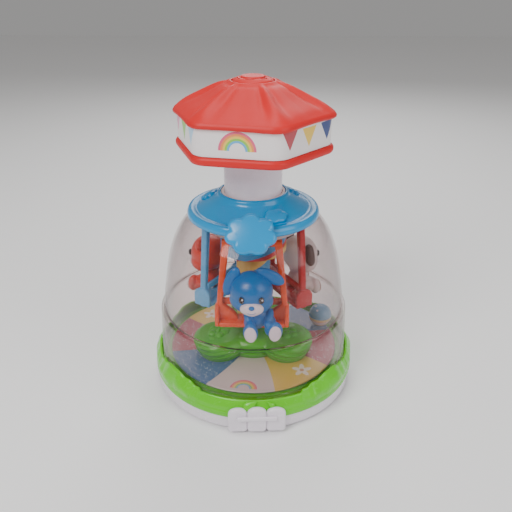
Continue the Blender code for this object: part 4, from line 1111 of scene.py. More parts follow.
class CAROUSEL_OT_hat(bpy.types.Operator):
    """Hexagonal hat: rim, printed band, draped roof and cap"""

    bl_idname = "carousel.hat"
    bl_label = "Hat"

    def execute(self, context):
        self.turn = turned_by(sizes().hat_turn, "Z")
        self.round = sizes().hat_round
        self.red = moulded("Satin red plastic", colours().red, roughness=0.46, grain=0.2, coat=0.0)
        self.rim()
        self.band()
        self.roof()
        self.cap()
        return {"FINISHED"}

    def hexed(self, obj, corner, from_radius):
        """Turns a round piece into a hexagonal one beyond a radius."""

        def rule(radius, angle, height):
            share = unit((radius - from_radius) / (corner - from_radius))
            wanted = hexagon(corner, self.round, angle) / corner
            return radius * (1 + (wanted - 1) * share**0.7), angle, height

        reshape(obj, rule)
        return obj

    def rim(self):
        foot, top = low("hat_rim").z, high("hat_rim").z
        corner = 61.6 * MM
        shelf = foot + 2.8 * MM
        profile = (
            (corner - 1.4 * MM, foot, 0.9 * MM),
            (corner, foot + 1.6 * MM, 1.4 * MM),
            (corner, top - 1.6 * MM, 1.4 * MM),
            (corner - 1.6 * MM, top, 0.9 * MM),
            (corner - 6 * MM, top, 0.4 * MM),
            (corner - 6 * MM, shelf, 0.5 * MM),
            (23.3 * MM, shelf, 0.2 * MM),
            (23.3 * MM, foot + 0.6 * MM, 0.2 * MM),
            (corner - 4 * MM, foot + 0.6 * MM, 0.6 * MM),
            (corner - 4 * MM, foot, 0.4 * MM),
        )
        rim = self.hexed(turned("rim", rounded(profile), steps=240), corner, 30 * MM)
        move(rim, self.turn)
        for angle in (30, 150, 270):
            x, y = around(29 * MM, sizes().hat_turn + angle)
            cut(rim, cylinder("hole", 1.6 * MM, 8 * MM, location=(x, y, foot)))
        rim.name = "hat_rim_ring"
        finish(rim, "plunger", "red_hat", self.red, "hat_rim")

    def band(self):
        foot, top = low("hat_band").z, high("hat_band").z
        corner = 59.2 * MM
        profile = (
            (corner, foot, 0.2 * MM),
            (corner, foot + 8 * MM, 0),
            (corner, top, 0.2 * MM),
            (corner - 1.8 * MM, top, 0.2 * MM),
            (corner - 1.8 * MM, foot, 0.2 * MM),
        )
        band = self.hexed(turned("band", rounded(profile), steps=240), corner, 30 * MM)
        move(band, self.turn)
        band.name = "bunting_band"
        surface = moulded("Printed white plastic", PRINT["white"], 0.3, base=self.print_on(foot, top))
        finish(band, "plunger", "printed_band", surface, "hat_band")

    def print_on(self, foot, top):
        """Bunting on five sides of the hat and a rainbow on the front one."""

        pitch = 21.5 * MM
        half_flag = 8.1 * MM
        flat = 53 * MM
        sixty = math.radians(60)
        # keeps the count of flags positive, where floor and modulo agree
        ahead = 20

        def base(surface):
            x, y, z = surface.axes()
            angle = surface.bearing(x, y * -1.0)
            turn = angle - math.radians(sizes().hat_turn) + sixty / 2 + FULL_TURN
            side = (turn / sixty).floor() % 6.0
            along = (turn % sixty - sixty / 2).tan() * flat
            flags = along / pitch + 0.5 + ahead
            cell = flags.floor() - ahead
            across = abs(flags % 1.0 - 0.5) * pitch
            hang = along * along * 2.2 + (top - 5.2 * MM) - z
            flag = (across < half_flag - hang * 0.58) * (hang > 0) * (abs(cell) < 1.5)
            string = abs(hang) < 0.3 * MM
            names = ("blush", "leaf", "pale", "brick", "sun", "navy", "teal")
            stops = [(i / len(names), PRINT[name]) for i, name in enumerate(names)]
            chosen = ((cell + 1 + (side < 4.5) * 3) % 7.0) / 7.0 + 0.02
            hue = surface.node("ShaderNodeValToRGB", {"stops": stops}, {0: chosen})
            front = (side > -0.5) * (side < 0.5)
            tone = surface.mix(flag * (1 - front), PRINT["white"], hue)
            tone = surface.mix(string * (1 - front) * 0.35, tone, PRINT["pale"])
            inside, bands = rainbow(surface, along, z - foot - 5.4 * MM, 13.5 * MM)
            return surface.mix(inside * front, tone, bands)

        return base

    def roof(self):
        crown = high("hat_band").z + GAP
        hem = crown - 3.4 * MM
        corner = 62.4 * MM
        cap = low("hat_cap").z
        outer = flowing(
            (
                (corner - 1.2 * MM, hem + 3.6 * MM),
                (corner * 0.86, crown + 4.7 * MM),
                (corner * 0.64, crown + 10.6 * MM),
                (corner * 0.42, crown + 17.2 * MM),
                (20.5 * MM, cap - 0.2 * MM),
                (17.6 * MM, cap + 1.3 * MM),
            ),
            steps=6,
        )
        profile = [
            (corner - 2.6 * MM, hem - 0.2 * MM),
            (corner - 1.0 * MM, hem - 0.6 * MM),
            (corner + 0.1 * MM, hem + 0.2 * MM),
            (corner + 0.3 * MM, hem + 1.6 * MM),
            *outer,
            (16.3 * MM, cap + 1.2 * MM),
            (16.3 * MM, cap - 0.4 * MM),
            (13 * MM, cap - 0.4 * MM),
            (13 * MM, cap - 2.4 * MM),
            (16 * MM, cap - 2.8 * MM),
            (corner * 0.42, crown + 14.4 * MM),
            (corner * 0.64, crown + 7.8 * MM),
            (corner * 0.86, crown + 2.0 * MM),
            (corner - 2.9 * MM, crown + 0.2 * MM),
        ]
        roof = turned("roof", profile, steps=300)
        self.hexed(roof, corner, 15 * MM)
        reshape(roof, self.draped(crown, corner))
        move(roof, self.turn)
        roof.name = "draped_roof"
        finish(roof, "plunger", "red_hat", self.red, "hat_roof", angle=60)

    def draped(self, crown, corner):
        """Cloth laid over the hexagon: ridges to the corners with a furrow beside each, and a wavy hem."""
        wave_height = sizes().hem_wave

        def rule(radius, angle, height):
            out = unit((radius - 17 * MM) / (corner - 20 * MM))
            to_corner = toward_corner(angle)
            off = (angle % 60) - 30
            ridge = math.exp(-((off / 5.5) ** 2))
            furrow = math.exp(-(((off + 9) / 4.0) ** 2)) + 0.6 * math.exp(-(((off - 10) / 5.0) ** 2))
            mid = math.sin(math.pi * min(1, out * 1.02)) ** 0.8 if out < 0.98 else 0
            lift = (1.9 * ridge - 1.2 * furrow - 0.9 * (1 - to_corner)) * MM * mid
            hem = 0
            if height < crown + 2.2 * MM:
                share = min(1, (crown + 2.2 * MM - height) / (4.5 * MM))
                swing = 0.5 - 0.5 * math.cos(math.pi * to_corner)
                flutter = 0.5 * MM * math.sin(math.radians(angle * 3 + 40))
                hem = -share * (wave_height * (swing - 0.35) + flutter)
            return radius, angle, height + lift + hem

        return rule

    def cap(self):
        foot, top = low("hat_cap").z, high("hat_cap").z
        profile = (
            (0, foot, 0),
            (15.4 * MM, foot, 0.2 * MM),
            (15.4 * MM, foot + 0.9 * MM, 0.3 * MM),
            (14.8 * MM, foot + 1.8 * MM, 1.0 * MM),
            (12.0 * MM, foot + 3.3 * MM, 1.2 * MM),
            (10.4 * MM, foot + 3.4 * MM, 0.4 * MM),
            (9.9 * MM, foot + 2.9 * MM, 0.3 * MM),
            (9.3 * MM, foot + 2.9 * MM, 0.3 * MM),
            (8.9 * MM, top - 0.3 * MM, 0.4 * MM),
            (8.2 * MM, top, 0.5 * MM),
            (4 * MM, top - 0.1 * MM, 0.5 * MM),
            (0, top - 0.2 * MM, 0),
        )
        cap = turned("roof_cap", rounded(profile, closed=False), closed=False)
        span = [36 * i / 8 - 18 for i in range(9)]
        for middle in range(0, 360, 60):
            outline = [around(12.1 * MM, middle + a) for a in span]
            outline += [around(11.2 * MM, middle - a) for a in span]
            cut(cap, slab("slit", outline, foot + 1.2 * MM, top + MM, edge=0.05 * MM, segments=1))
        move(cap, self.turn)
        finish(cap, "plunger", "red_hat", self.red, "hat_cap")


class CAROUSEL_OT_stem(bpy.types.Operator):
    """White stem that the hat pushes down, with the flange under the hat"""

    bl_idname = "carousel.stem"
    bl_label = "Stem"

    def execute(self, context):
        foot, top = low("plunger_tube").z, high("plunger_tube").z
        radius = 23 * MM
        profile = (
            (24.8 * MM, foot, 0.4 * MM),
            (24.8 * MM, foot + 2 * MM, 0.4 * MM),
            (radius, foot + 2.2 * MM, 0.3 * MM),
            (radius, top - 2 * MM, 0.4 * MM),
            (33 * MM, top - 2 * MM, 0.4 * MM),
            (33 * MM, top, 0.4 * MM),
            (radius - 2 * MM, top, 0.4 * MM),
            (radius - 2 * MM, foot + 2 * MM, 0.2 * MM),
            (17 * MM, foot + 2 * MM, 0.3 * MM),
            (17 * MM, foot, 0.3 * MM),
        )
        stem = turned("stem_tube", rounded(profile))
        white = bpy.data.materials["Glossy white plastic"]
        finish(stem, "plunger", "white_shell", white, "plunger_tube")
        dress(bpy.data.materials["Natural plastic"], "drive_nut")
        return {"FINISHED"}


# ---------------------------------------------------------------- works


class CAROUSEL_OT_works(bpy.types.Operator):
    """Spindle, return spring, hub and pawls"""

    bl_idname = "carousel.works"
    bl_label = "Works"

    def execute(self, context):
        drawn = bpy.data.materials["Drawn steel"]
        dress(drawn, "spindle")
        dress(bpy.data.materials["Natural plastic"], "rotor_hub", "clutch_pawl_1", "clutch_pawl_2")
        self.spring(drawn)
        return {"FINISHED"}

    def spring(self, steel):
        """A coil with closed ends."""
        foot, head = low("return_spring").z, high("return_spring").z
        wire = 0.6 * MM
        radius = 8.4 * MM
        turns, steps = 7, 36
        points = []
        for i in range(turns * steps + 1):
            wound = i / steps
            a = FULL_TURN * wound
            climb = unit((wound - 0.9) / (turns - 1.8))
            closing = min(1, wound) + max(0, wound - turns + 1) - 1
            z = foot + wire + (head - foot - 2 * wire) * climb + 0.9 * wire * closing
            points.append((radius * math.cos(a), radius * math.sin(a), z))
        spring = tube_along("coil_spring", points, wire)
        finish(spring, "base", "steel", steel, "return_spring")
        travel = -joint("plunger_push")["range_m"][0]
        keep = 1 - travel / (head - foot)
        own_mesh(spring)


# ---------------------------------------------------------------- carousel


LOBES = (60, 180, 300)
FLOOR_TINTS = {
    "white": (0.68, 0.61, 0.57),
    "yellow": (0.74, 0.52, 0.025),
    "rose": (0.42, 0.012, 0.05),
    "blue": (0.004, 0.12, 0.32),
}


def from_lobe(angle):
    """Degrees from an angle to the nearest lobe of the platform."""
    return min(apart(angle, lobe) for lobe in LOBES)


class CAROUSEL_OT_floor_disc(bpy.types.Operator):
    """Printed floor that turns with the carousel"""

    bl_idname = "carousel.floor_disc"
    bl_label = "Floor disc"

    def execute(self, context):
        foot, top = low("floor_disc").z, high("floor_disc").z
        profile = (
            (16.6 * MM, foot, 0.1 * MM),
            (72.6 * MM, foot, 0.2 * MM),
            (73 * MM, foot + 0.4 * MM, 0.2 * MM),
            (73 * MM, top - 0.5 * MM, 0.2 * MM),
            (72.5 * MM, top, 0.2 * MM),
            (16.6 * MM, top, 0.1 * MM),
        )
        disc = turned("printed_disc", rounded(profile), steps=180)
        surface = moulded("Printed floor", PRINT["white"], 0.28, base=self.print_on)
        finish(disc, "carousel", "printed_floor", surface, "floor_disc")
        return {"FINISHED"}

    def print_on(self, surface):
        """Eight swirled sectors, with glitter on blue and rose, daisies on yellow and rainbows on white."""
        x, y, _ = surface.axes()
        reach = (x * x + y * y).root()
        swirl = (reach / (73 * MM) - 0.75) * 0.16
        turn = surface.bearing(x, y * -1.0) + FULL_TURN + math.radians(27.5) + swirl
        index = (turn / math.radians(45)).floor() % 4.0
        stops = list(zip((0.0, 0.2, 0.45, 0.7), FLOOR_TINTS.values()))
        tone = surface.node("ShaderNodeValToRGB", {"stops": stops}, {0: index / 4 + 0.02})
        glitter = (index > 1.5) * self.glitter(surface)
        tone = surface.mix(glitter, tone, (0.75, 0.86, 0.92))
        for side in (0, 180):
            cx, cy = around(60 * MM, 44 + side)
            tone = self.daisy(surface, x - cx, y - cy, tone)
            up_x, up_y = around(1.0, -5 + side)
            along = x * -up_y + y * up_x
            outward = x * up_x + y * up_y
            inside, bands = rainbow(surface, along, outward * -1.0 + 69 * MM, 11 * MM)
            tone = surface.mix(inside * (outward > 0) * 0.9, tone, bands)
        return tone

    def glitter(self, surface):
        """Small dots in about a quarter of the cells."""
        chance = surface.node("ShaderNodeSeparateColor", inputs={0: surface.cells(750, output=1)})
        return (surface.cells(750) < 0.30) * (chance > 0.72) * 0.95

    def daisy(self, surface, dx, dy, tone):
        """Five white petals and a brown heart over a tone."""
        reach = (dx * dx + dy * dy).root()
        edge = ((surface.bearing(dx, dy) * 5.0).cos() * 0.28 + 0.72) * 8.4 * MM
        tone = surface.mix((reach < edge) * 0.9, tone, (0.82, 0.78, 0.70))
        return surface.mix(reach < 1.9 * MM, tone, (0.62, 0.34, 0.16))


def trefoil(inset, angle):
    """Radius of the three-lobed platform at an angle, drawn in by an inset."""
    centre = 33 * MM
    away = math.radians(from_lobe(angle))
    side = centre * math.sin(away)
    reach = 23 * MM - inset
    lobe = 0
    if abs(side) < reach:
        lobe = centre * math.cos(away) + math.sqrt(reach**2 - side**2)
    core = 33 * MM - inset
    soft = 7 * MM
    return max(lobe, core) + max(soft - abs(lobe - core), 0) ** 2 / (4 * soft)


class CAROUSEL_OT_platform(bpy.types.Operator):
    """Three-lobed green platform with layered flanks and a flower on each lobe"""

    bl_idname = "carousel.platform"
    bl_label = "Platform"

    def execute(self, context):
        foot = low("platform").z
        top = foot + 20 * MM
        levels = 22
        widest, bore = 56 * MM, 11.2 * MM
        flank = (top - foot) * 0.93
        profile = [(widest, foot + flank * i / levels) for i in range(levels + 1)]
        profile += [(widest * share, top) for share in (0.9, 0.8, 0.68, 0.56, 0.45)]
        profile += [(bore, top), (bore, foot)]
        platform = turned("lawn", profile, steps=300)
        reshape(platform, self.lobed(foot, top, widest))
        flowers = [self.flower(angle, top) for angle in LOBES]
        platform = union("lobed_platform", [platform, *flowers])
        leaf = moulded("Glossy leaf green plastic", colours().leaf, roughness=0.28, coat=0.3)
        finish(platform, "carousel", "green_platform", leaf, "platform", angle=50)
        return {"FINISHED"}

    def lobed(self, foot, top, widest):
        """The rule that draws the round blank in to three lobes with swept, layered flanks."""
        tall = top - foot

        def rule(radius, angle, height):
            share = (height - foot) / tall
            if radius < 12 * MM:
                return radius, angle, height
            if radius > widest - MM and share < 0.95:
                bulge = 5.0 * (1 - min(1, share / 0.6)) ** 1.6 + 5.5 * max(0, (share - 0.62) / 0.31) ** 2.6
                sweep = 7.5 * share + 1.6 * math.cos(math.radians(from_lobe(angle) * 3))
                layer = 1.25 * abs(math.sin(sweep * 1.5)) * math.sin(math.pi * min(1, share / 0.86)) ** 0.6
                return trefoil((bulge + layer) * MM, angle), angle, height
            inner = min(1, radius / (widest * 0.9))
            edge = trefoil(5.5 * MM, angle) * inner**0.9
            dome = (0.93 + 0.07 * (1 - inner**2.5)) * tall
            return max(edge, 11.3 * MM), angle, foot + dome

        return rule

    def flower(self, lobe, top):
        """Five petals and a heart, melted into a soft relief."""
        pieces = []
        for k in range(5):
            x, y = around(5.6 * MM, lobe + 72 * k)
            pieces.append(blob("petal", (x, y, 0), (3.9 * MM, 3.9 * MM, 3.0 * MM), segments=24))
        pieces.append(blob("heart", (0, 0, 0.4 * MM), (2.8 * MM, 2.8 * MM, 2.6 * MM), segments=24))
        for k in (0.5, 2.5, 3.5):
            x, y = around(10.5 * MM, lobe + 72 * k)
            pieces.append(blob("frill", (x, y, -0.4 * MM), (3.0 * MM, 2.4 * MM, 1.7 * MM), segments=20))
        flower = melt("flower", pieces, 0.35 * MM, smooth=1)
        x, y = around(34.5 * MM, lobe)
        move(flower, Matrix.Translation((x, y, top - 0.9 * MM)))
        return flower


class CAROUSEL_OT_column(bpy.types.Operator):
    """Striped column and the crown that carries the swings"""

    bl_idname = "carousel.column"
    bl_label = "Column and crown"

    def execute(self, context):
        foot, top = low("column").z, high("column").z
        radius = 14.2 * MM
        profile = (
            (radius - 2 * MM, foot, 0.2 * MM),
            (radius, foot, 0.3 * MM),
            (radius, foot + 30 * MM, 0),
            (radius, top, 0.3 * MM),
            (radius - 2 * MM, top, 0.2 * MM),
        )
        column = turned("striped_column", rounded(profile))
        surface = moulded("Striped blue plastic", colours().blue, 0.28, base=self.stripes)
        finish(column, "carousel", "blue_shell", surface, "column")
        dress(surface, "crown_cup")
        dress(moulded("Cream plastic", (0.70, 0.60, 0.58), roughness=0.35), "swing_ring")
        return {"FINISHED"}

    def stripes(self, surface):
        """A yellow ribbon and a thin red one wound up the blue column."""
        x, y, z = surface.axes()
        wound = (z - surface.bearing(x, y * -1.0) * 7 * MM + 8 * MM) / (44 * MM) % 1.0
        yellow = (0.85, 0.55, 0.08)
        tone = surface.mix((wound > 0.60) * (wound < 0.88), tuple(colours().blue), yellow)
        return surface.mix((wound > 0.88) * (wound < 0.97), tone, tuple(colours().red))


# ---------------------------------------------------------------- swings and figures


# Heights in a swing's own frame, below its pivot
SWING_FOOT = -72 * MM
SEAT_TOP = -67.8 * MM
SWING_COLOURS = {"front": "orange", "left": "sky", "right": "crimson"}
SWING_SLOTS = {"front": "orange_swing", "left": "sky_swing", "right": "red_swing"}


class CAROUSEL_OT_swings(bpy.types.Operator):
    """Three swings with round posts, flared feet, seat and back rail"""

    bl_idname = "carousel.swings"
    bl_label = "Swings"

    def execute(self, context):
        for name, tint in SWING_COLOURS.items():
            paint = getattr(colours(), tint)
            surface = moulded(f"Glossy {tint} plastic", paint, roughness=0.26, coat=0.3)
            swing = self.swing(name)
            finish(swing, f"swing_{name}", SWING_SLOTS[name], surface, f"swing_frame_{name}")
        return {"FINISHED"}

    def swing(self, name):
        pieces = []
        for side in (-1, 1):
            pieces += [self.post(side), self.cheek(side), self.barrel(side)]
        half, foot = 26.5 * MM, SWING_FOOT + 0.2 * MM
        pieces.append(bar("seat", (-half, -9 * MM, foot), (half, 7.5 * MM, SEAT_TOP), edge=1.2 * MM))
        half, foot, top = 25.5 * MM, SWING_FOOT + 15.5 * MM, SWING_FOOT + 21.5 * MM
        pieces.append(bar("rail", (-half, 1.6 * MM, foot), (half, 4.2 * MM, top), edge=MM))
        swing = union(f"swing_{name}_frame", pieces)
        move(swing, swing_place(name))
        return swing

    def post(self, side):
        """A leaning post with the curved web that joins it to the seat."""
        top_x, foot_x, half = 20.3 * MM, 27.5 * MM, 3 * MM
        outline = [
            (side * (top_x - half), 0.5 * MM),
            (side * (top_x + half), 0.5 * MM),
            (side * (foot_x + half), SWING_FOOT + 0.4 * MM),
            (side * (foot_x + half - 1.2 * MM), SWING_FOOT),
            (side * 11 * MM, SWING_FOOT + 0.6 * MM),
            (side * 11.6 * MM, SWING_FOOT + 6.4 * MM),
            (side * 15.4 * MM, SWING_FOOT + 11.5 * MM),
            (side * 20.6 * MM, SWING_FOOT + 15.5 * MM),
            (side * (foot_x - half - 0.6 * MM), SWING_FOOT + 19 * MM),
        ]
        post = slab("post", outline[::side], -2.8 * MM, 2.8 * MM, edge=1.3 * MM, segments=4)
        move(post, turned_by(90, "X"))
        return post

    def cheek(self, side):
        """The upright end of the seat, wide at its foot and drawn in to the post."""
        sections = (
            (-8.7, 0.5),
            (7.2, 0.5),
            (7.2, 12.5),
            (5.6, 15.2),
            (2.2, 17.5),
            (-2.2, 17.5),
            (-6.6, 15.2),
            (-8.7, 12.0),
        )
        outline = [(y * MM, SWING_FOOT + z * MM) for y, z in sections]
        inner, outer = sorted((side * 26.4 * MM, side * 29.9 * MM))
        cheek = slab("cheek", outline, inner, outer, edge=1.1 * MM, segments=4)
        # the outline's X, Y and thickness become Y, Z and X
        move(cheek, Matrix(((0, 0, 1, 0), (1, 0, 0, 0), (0, 1, 0, 0), (0, 0, 0, 1))))
        return cheek

    def barrel(self, side):
        """The eye at a post's head, round the pin."""
        inner, outer = sorted((side * 14 * MM, side * 23.3 * MM))
        place = {"rotation": (0, math.radians(90), 0), "location": ((inner + outer) / 2, 0, 0)}
        barrel = cylinder("barrel", 3 * MM, outer - inner, 40, **place)
        freeze(barrel)
        apply_modifier(barrel, "BEVEL", width=0.5 * MM, segments=3, limit_method="ANGLE")
        return barrel


FIGURES = {
    "front": {
        "nodes": "bunny",
        "slot": "blue_animal",
        "coat": "bunny",
        "sole": (0.86, 0.80, 0.88),
        "lean": (0, 4, 0),
        "shift": 7 * MM,
        "ears": "drooping",
    },
    "left": {
        "nodes": "bear",
        "slot": "coral_animal",
        "coat": "coral",
        "sole": (0.80, 0.66, 0.58),
        "lean": (0, 0, 0),
        "shift": 0,
        "ears": "round",
    },
    "right": {
        "nodes": "puppy",
        "slot": "cream_animal",
        "coat": "cream",
        "sole": (0.42, 0.20, 0.12),
        "lean": (0, 0, 0),
        "shift": 0,
        "ears": "folded",
    },
}


SEAT = SEAT_TOP + GAP
HEAD_AT = Vector((0, -13 * MM, SEAT + 31.5 * MM))


class CAROUSEL_OT_animals(bpy.types.Operator):
    """Three seated animals with painted faces"""

    bl_idname = "carousel.animals"
    bl_label = "Animals"

    def execute(self, context):
        dark = (0.018, 0.010, 0.008)
        self.dark = moulded("Painted dark eye", dark, roughness=0.1, grain=0.02, coat=1.0)
        self.glint = moulded("Painted white glint", (0.9, 0.9, 0.9), roughness=0.2, grain=0.02)
        self.muzzle_skin = vinyl("White vinyl", (0.88, 0.82, 0.88))
        for name, look in FIGURES.items():
            self.figure(name, look)
        return {"FINISHED"}

    def figure(self, name, look):
        self.place = swing_place(name)
        self.body_name = f"swing_{name}"
        self.prefix = look["nodes"]
        self.look = look
        self.coat = vinyl(f"{look['coat'].title()} vinyl", getattr(colours(), look["coat"]))
        self.head()
        self.body()
        self.face()
        self.ears()

    def put(self, obj, name, slot, surface, *nodes):
        """Moves a piece from the swing's own frame to its place, and finishes it."""
        move(obj, self.place)
        obj.name = f"{self.prefix}_{name}"
        return finish(obj, self.body_name, slot, surface, *nodes, angle=60)

    def head(self):
        lean = self.look["lean"]
        skull_at, cheeks_at = HEAD_AT + millimetres(0, 0, 1.4), HEAD_AT + millimetres(0, -1.6, -5.6)
        skull = blob("skull", skull_at, millimetres(16.8, 15.3, 15.4), lean, 48)
        cheeks = blob("cheeks", cheeks_at, millimetres(17.2, 13.4, 10.8), lean, 48)
        head = melt("head", [skull, cheeks], sizes().skin_grain, smooth=14)
        self.put(head, "head_skin", self.look["slot"], self.coat, f"{self.prefix}_head")

    def body(self):
        shift = self.look["shift"]
        seat = Vector((0, 0, SEAT))

        def part(name, along, place, radii, turn=(0, 0, 0)):
            """An ellipsoid above the seat, moved sideways with a share of the body's shift."""
            centre = seat + Vector((shift * along, 0, 0)) + millimetres(*place)
            return blob(name, centre, millimetres(*radii), turn)

        parts = [
            part("belly", 0.6, (0, -11.4, 8), (9.6, 7.6, 9.6)),
            part("neck", 0.4, (0, -11.4, 14), (7.4, 6.4, 7)),
        ]
        soles = []
        for side in (-1, 1):
            high_foot = side * 0.7
            toe_in = (-6, side * 6, 0)
            parts += [
                part("thigh", 0.96, (side * 8 * 0.96, -14.5, 4.8), (5.2, 8.6, 4.8)),
                part("shin", 1.02, (side * 8 * 1.02, -20.5, 2.2), (5.0, 5.4, 5.2)),
                part("foot", 1.3, (side * 9.6, -24.3, 2.2 + high_foot), (5.9, 4.5, 7.9), toe_in),
                part("arm", 0.8, (side * 8.4, -15.5, 10.4), (3.3, 7.8, 3.4), (34, 0, -side * 14)),
                part("paw", 0.9, (side * 7.2, -21.4, 6.6), (3.5, 3.3, 3.4)),
            ]
            soles.append(part("sole", 1.3, (side * 9.6, -27.6, 1.8 + high_foot), (4.8, 1.6, 6.5), toe_in))
        body = melt("body", parts, sizes().skin_grain, smooth=4)
        self.trim(body)
        self.put(body, "body_skin", self.look["slot"], self.coat, f"{self.prefix}_body")
        surface = vinyl(f"{self.prefix.title()} sole vinyl", self.look["sole"])
        self.put(union("soles", soles), "soles", self.look["slot"], surface)

    def trim(self, body):
        """Flattens what would sink into the seat, behind its front edge."""
        for vertex in body.data.vertices:
            if vertex.co.y > -9.3 * MM and vertex.co.z < SEAT:
                vertex.co.z = SEAT
        body.data.update()

    def face(self):
        muzzle_at = HEAD_AT + millimetres(0.6, -13.4, -7.4)
        muzzle = blob("muzzle", muzzle_at, millimetres(9.2, 4.6, 5.7), segments=40)
        chin = blob("chin", HEAD_AT + millimetres(0.6, -13.0, -9.4), millimetres(6.2, 4.2, 4.4))
        muzzle = melt("muzzle", [muzzle, chin], 0.35 * MM, smooth=6)
        self.put(muzzle, "muzzle_skin", "white_face", self.muzzle_skin, f"{self.prefix}_muzzle")
        nose = blob("nose", HEAD_AT + millimetres(0.6, -17.6, -4.6), millimetres(2.3, 1.5, 1.8))
        self.put(nose, "nose", self.look["slot"], self.coat if self.look["ears"] == "drooping" else self.dark)
        bend = arc((0.6, -7.8), (3.2, 2.1), 200, 340, 12)
        smile = tube_along("smile", [HEAD_AT + millimetres(x, -17.4, z) for x, z in bend], 0.28 * MM)
        self.put(smile, "smile", self.look["slot"], self.coat)
        eyes, glints = [], []
        for side in (-1, 1):
            centre = HEAD_AT + millimetres(0.4 + side * 7.6, -14.6, 0.6)
            eyes.append(blob("eye", centre, millimetres(2.2, 1.5, 2.9), (0, 0, side * 24)))
            spark = centre + millimetres(0.7, -1.25, 1.0)
            glints.append(blob("glint", spark, millimetres(0.75, 0.5, 0.85), segments=16))
        self.put(union("eyes", eyes), "eyes", "brown_ear", self.dark)
        self.put(union("glints", glints), "eye_glints", "white_face", self.glint)

    def ears(self):
        kind = self.look["ears"]
        if kind == "drooping":
            self.ear("left", (-15.5, 1, 8.5), (5.6, 3.6, 13), 20, self.coat, "blue_animal")
            self.ear("right", (14.5, 1, 13), (5.6, 3.6, 12), -62, self.coat, "blue_animal")
        elif kind == "round":
            for word, side in (("left", -1), ("right", 1)):
                centre = (side * 12.5, 0.5, 13)
                self.ear(word, centre, (6, 3.6, 6), 0, self.coat, "coral_animal", lone=True)
        else:
            brown = vinyl("Brown vinyl", colours().brown)
            self.ear("left", (-17, 0.5, 6), (4.6, 5.2, 9.6), 18, brown, "brown_ear")
            self.ear("right", (17, 0.5, 6), (4.6, 5.2, 9.6), -18, brown, "brown_ear")

    def ear(self, word, centre, radii, lean, surface, slot, lone=False):
        """A soft ear with a hollow on its front face; a lone one has no CAD node of its own."""
        at = HEAD_AT + Vector(centre) * MM
        flap = blob("flap", at, Vector(radii) * MM, (0, lean, 0), 40)
        for vertex in flap.data.vertices:
            away = vertex.co - at
            across = math.hypot(away.x, away.z) / (max(radii) * MM)
            if away.y < 0 and not lone:
                vertex.co.y += 1.1 * MM * max(0, 1 - (across / 0.75) ** 2)
        nodes = [] if lone else [f"{self.prefix}_ear_{word}"]
        self.put(flap, f"ear_{word}_skin", slot, surface, *nodes)


class CAROUSEL_OT_ball(bpy.types.Operator):
    """Loose ball in two halves, on the floor"""

    bl_idname = "carousel.ball"
    bl_label = "Ball"

    def execute(self, context):
        centre = (Vector(low("ball_lower")) + Vector(high("ball_upper"))) / 2
        blue = moulded("Ball blue", (0.045, 0.27, 0.50), roughness=0.22, coat=0.5, base=self.dots)
        self.half("upper", 1, centre, blue)
        yellow = moulded("Ball yellow", (0.80, 0.48, 0.20), 0.22, coat=0.5, base=self.hoop(centre))
        self.half("lower", -1, centre, yellow)
        return {"FINISHED"}

    def half(self, word, side, centre, surface):
        """One thin-walled half, turned about its pole."""
        radius, wall, edge = 10.5 * MM, 1.2 * MM, 0.15 * MM
        profile = []
        for reach in (radius, radius - wall):
            first = math.asin(edge / reach)
            bend = [first + (math.pi / 2 - first) * i / 20 for i in range(21)]
            wall_line = [(reach * math.cos(a), side * reach * math.sin(a)) for a in bend[:-1]]
            wall_line.append((0, side * reach))
            profile += wall_line[::-1] if profile else wall_line
        shell = turned(f"ball_{word}_shell", profile, steps=72)
        move(shell, Matrix.Translation(centre))
        finish(shell, "ball", "blue_ball" if side > 0 else "yellow_ball", surface, f"ball_{word}")

    def dots(self, surface):
        """White dots on the blue half."""
        return surface.mix(surface.cells(170) < 0.2, (0.045, 0.27, 0.50), (0.75, 0.75, 0.78))

    def hoop(self, centre):
        """A pale hoop and a brighter edge on the yellow half."""

        def base(surface):
            depth = centre.z - surface.axes()[2]
            hoop = (depth > 3.0 * MM) * (depth < 6.0 * MM)
            tone = surface.mix(hoop, (0.80, 0.48, 0.20), (0.72, 0.56, 0.46))
            return surface.mix(depth < 1.2 * MM, tone, (0.80, 0.62, 0.10))

        return base


# ---------------------------------------------------------------- stage


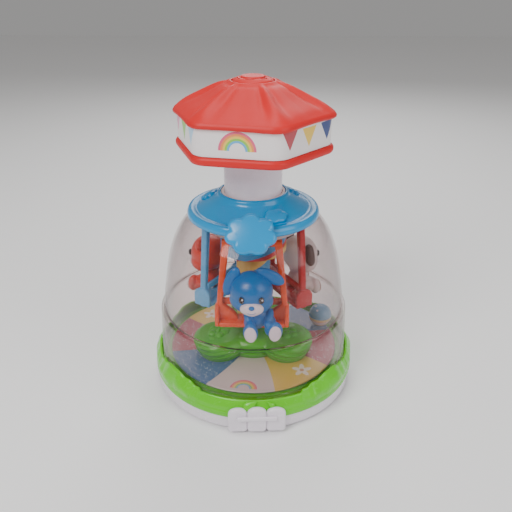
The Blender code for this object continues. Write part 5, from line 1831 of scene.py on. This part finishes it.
class CAROUSEL_OT_stage(bpy.types.Operator):
    """Pale floor, soft studio lights and the camera"""

    bl_idname = "carousel.stage"
    bl_label = "Stage"

    def execute(self, context):
        self.floor()
        self.lamp("key", (-0.55, -0.75, 0.95), 0.55, 10)
        self.lamp("fill", (0.85, -0.55, 0.60), 0.7, 4)
        self.lamp("back", (0.1, 0.95, 0.85), 0.7, 5)
        self.lamp("top", (0, 0, 1.15), 0.5, 4)
        world = bpy.data.worlds.new("Soft room")
        world.use_nodes = True
        tint, strength = world.node_tree.nodes["Background"].inputs[:2]
        tint.default_value = (1, 0.985, 0.975, 1)
        strength.default_value = 0.32
        context.scene.world = world
        self.camera(context)
        return {"FINISHED"}

    def floor(self):
        bpy.ops.object.select_all(action="DESELECT")
        bpy.ops.mesh.primitive_plane_add(size=6)
        plane = named("floor")
        surface = Surface("Pale floor")
        surface.set(base_color=(0.92, 0.915, 0.91, 1), roughness=0.8)
        plane.data.materials.append(surface.material)

    def lamp(self, name, place, size, power):
        """A square soft light, turned to the toy's middle."""
        light = bpy.data.lights.new(name, "AREA")
        light.size = size
        light.energy = power
        lamp = bpy.data.objects.new(name, light)
        lamp.location = place
        aim = Vector((0, 0, 0.12)) - lamp.location
        lamp.rotation_euler = aim.to_track_quat("-Z", "Y").to_euler()
        bpy.context.scene.collection.objects.link(lamp)

    def camera(self, context):
        """Stands a little right of centre, above the hat, looking down at the toy."""
        lens = bpy.data.cameras.new("camera")
        lens.sensor_width = 36
        lens.lens = 41.3
        lens.clip_start = 0.01
        camera = bpy.data.objects.new("camera", lens)
        camera.location = (0.0143, -0.4434, 0.3297)
        camera.rotation_euler = (math.radians(90 - 26.03), 0, math.radians(1.56))
        context.scene.collection.objects.link(camera)
        context.scene.camera = camera


# ---------------------------------------------------------------- panel


PIECES = (
    CAROUSEL_OT_base_pan,
    CAROUSEL_OT_base_cover,
    CAROUSEL_OT_base_fittings,
    CAROUSEL_OT_housing,
    CAROUSEL_OT_collar,
    CAROUSEL_OT_stop_button,
    CAROUSEL_OT_hat,
    CAROUSEL_OT_stem,
    CAROUSEL_OT_works,
    CAROUSEL_OT_floor_disc,
    CAROUSEL_OT_platform,
    CAROUSEL_OT_column,
    CAROUSEL_OT_swings,
    CAROUSEL_OT_animals,
    CAROUSEL_OT_ball,
    CAROUSEL_OT_stage,
)


class CAROUSEL_PT_panel(bpy.types.Panel):
    """Sizes, colours and the pieces in the order they are made"""

    bl_idname = "CAROUSEL_PT_panel"
    bl_label = "Carousel toy"
    bl_space_type = "VIEW_3D"
    bl_region_type = "UI"
    bl_category = "Carousel"

    def draw(self, context):
        for group in (context.scene.carousel_sizes, context.scene.carousel_colours):
            box = self.layout.box()
            for name in group.__annotations__:
                box.prop(group, name)
        for piece in PIECES:
            self.layout.operator(piece.bl_idname)


CLASSES = (CarouselSizes, CarouselColours, *PIECES, CAROUSEL_PT_panel)


def register():
    for cls in CLASSES:
        bpy.utils.register_class(cls)
    bpy.types.Scene.carousel_sizes = PointerProperty(type=CarouselSizes)
    bpy.types.Scene.carousel_colours = PointerProperty(type=CarouselColours)


def unregister():
    del bpy.types.Scene.carousel_colours
    del bpy.types.Scene.carousel_sizes
    for cls in reversed(CLASSES):
        bpy.utils.unregister_class(cls)


def main():
    register()
    for piece in PIECES:
        group, name = piece.bl_idname.split(".")
        getattr(getattr(bpy.ops, group), name)()


if __name__ == "__main__":
    main()
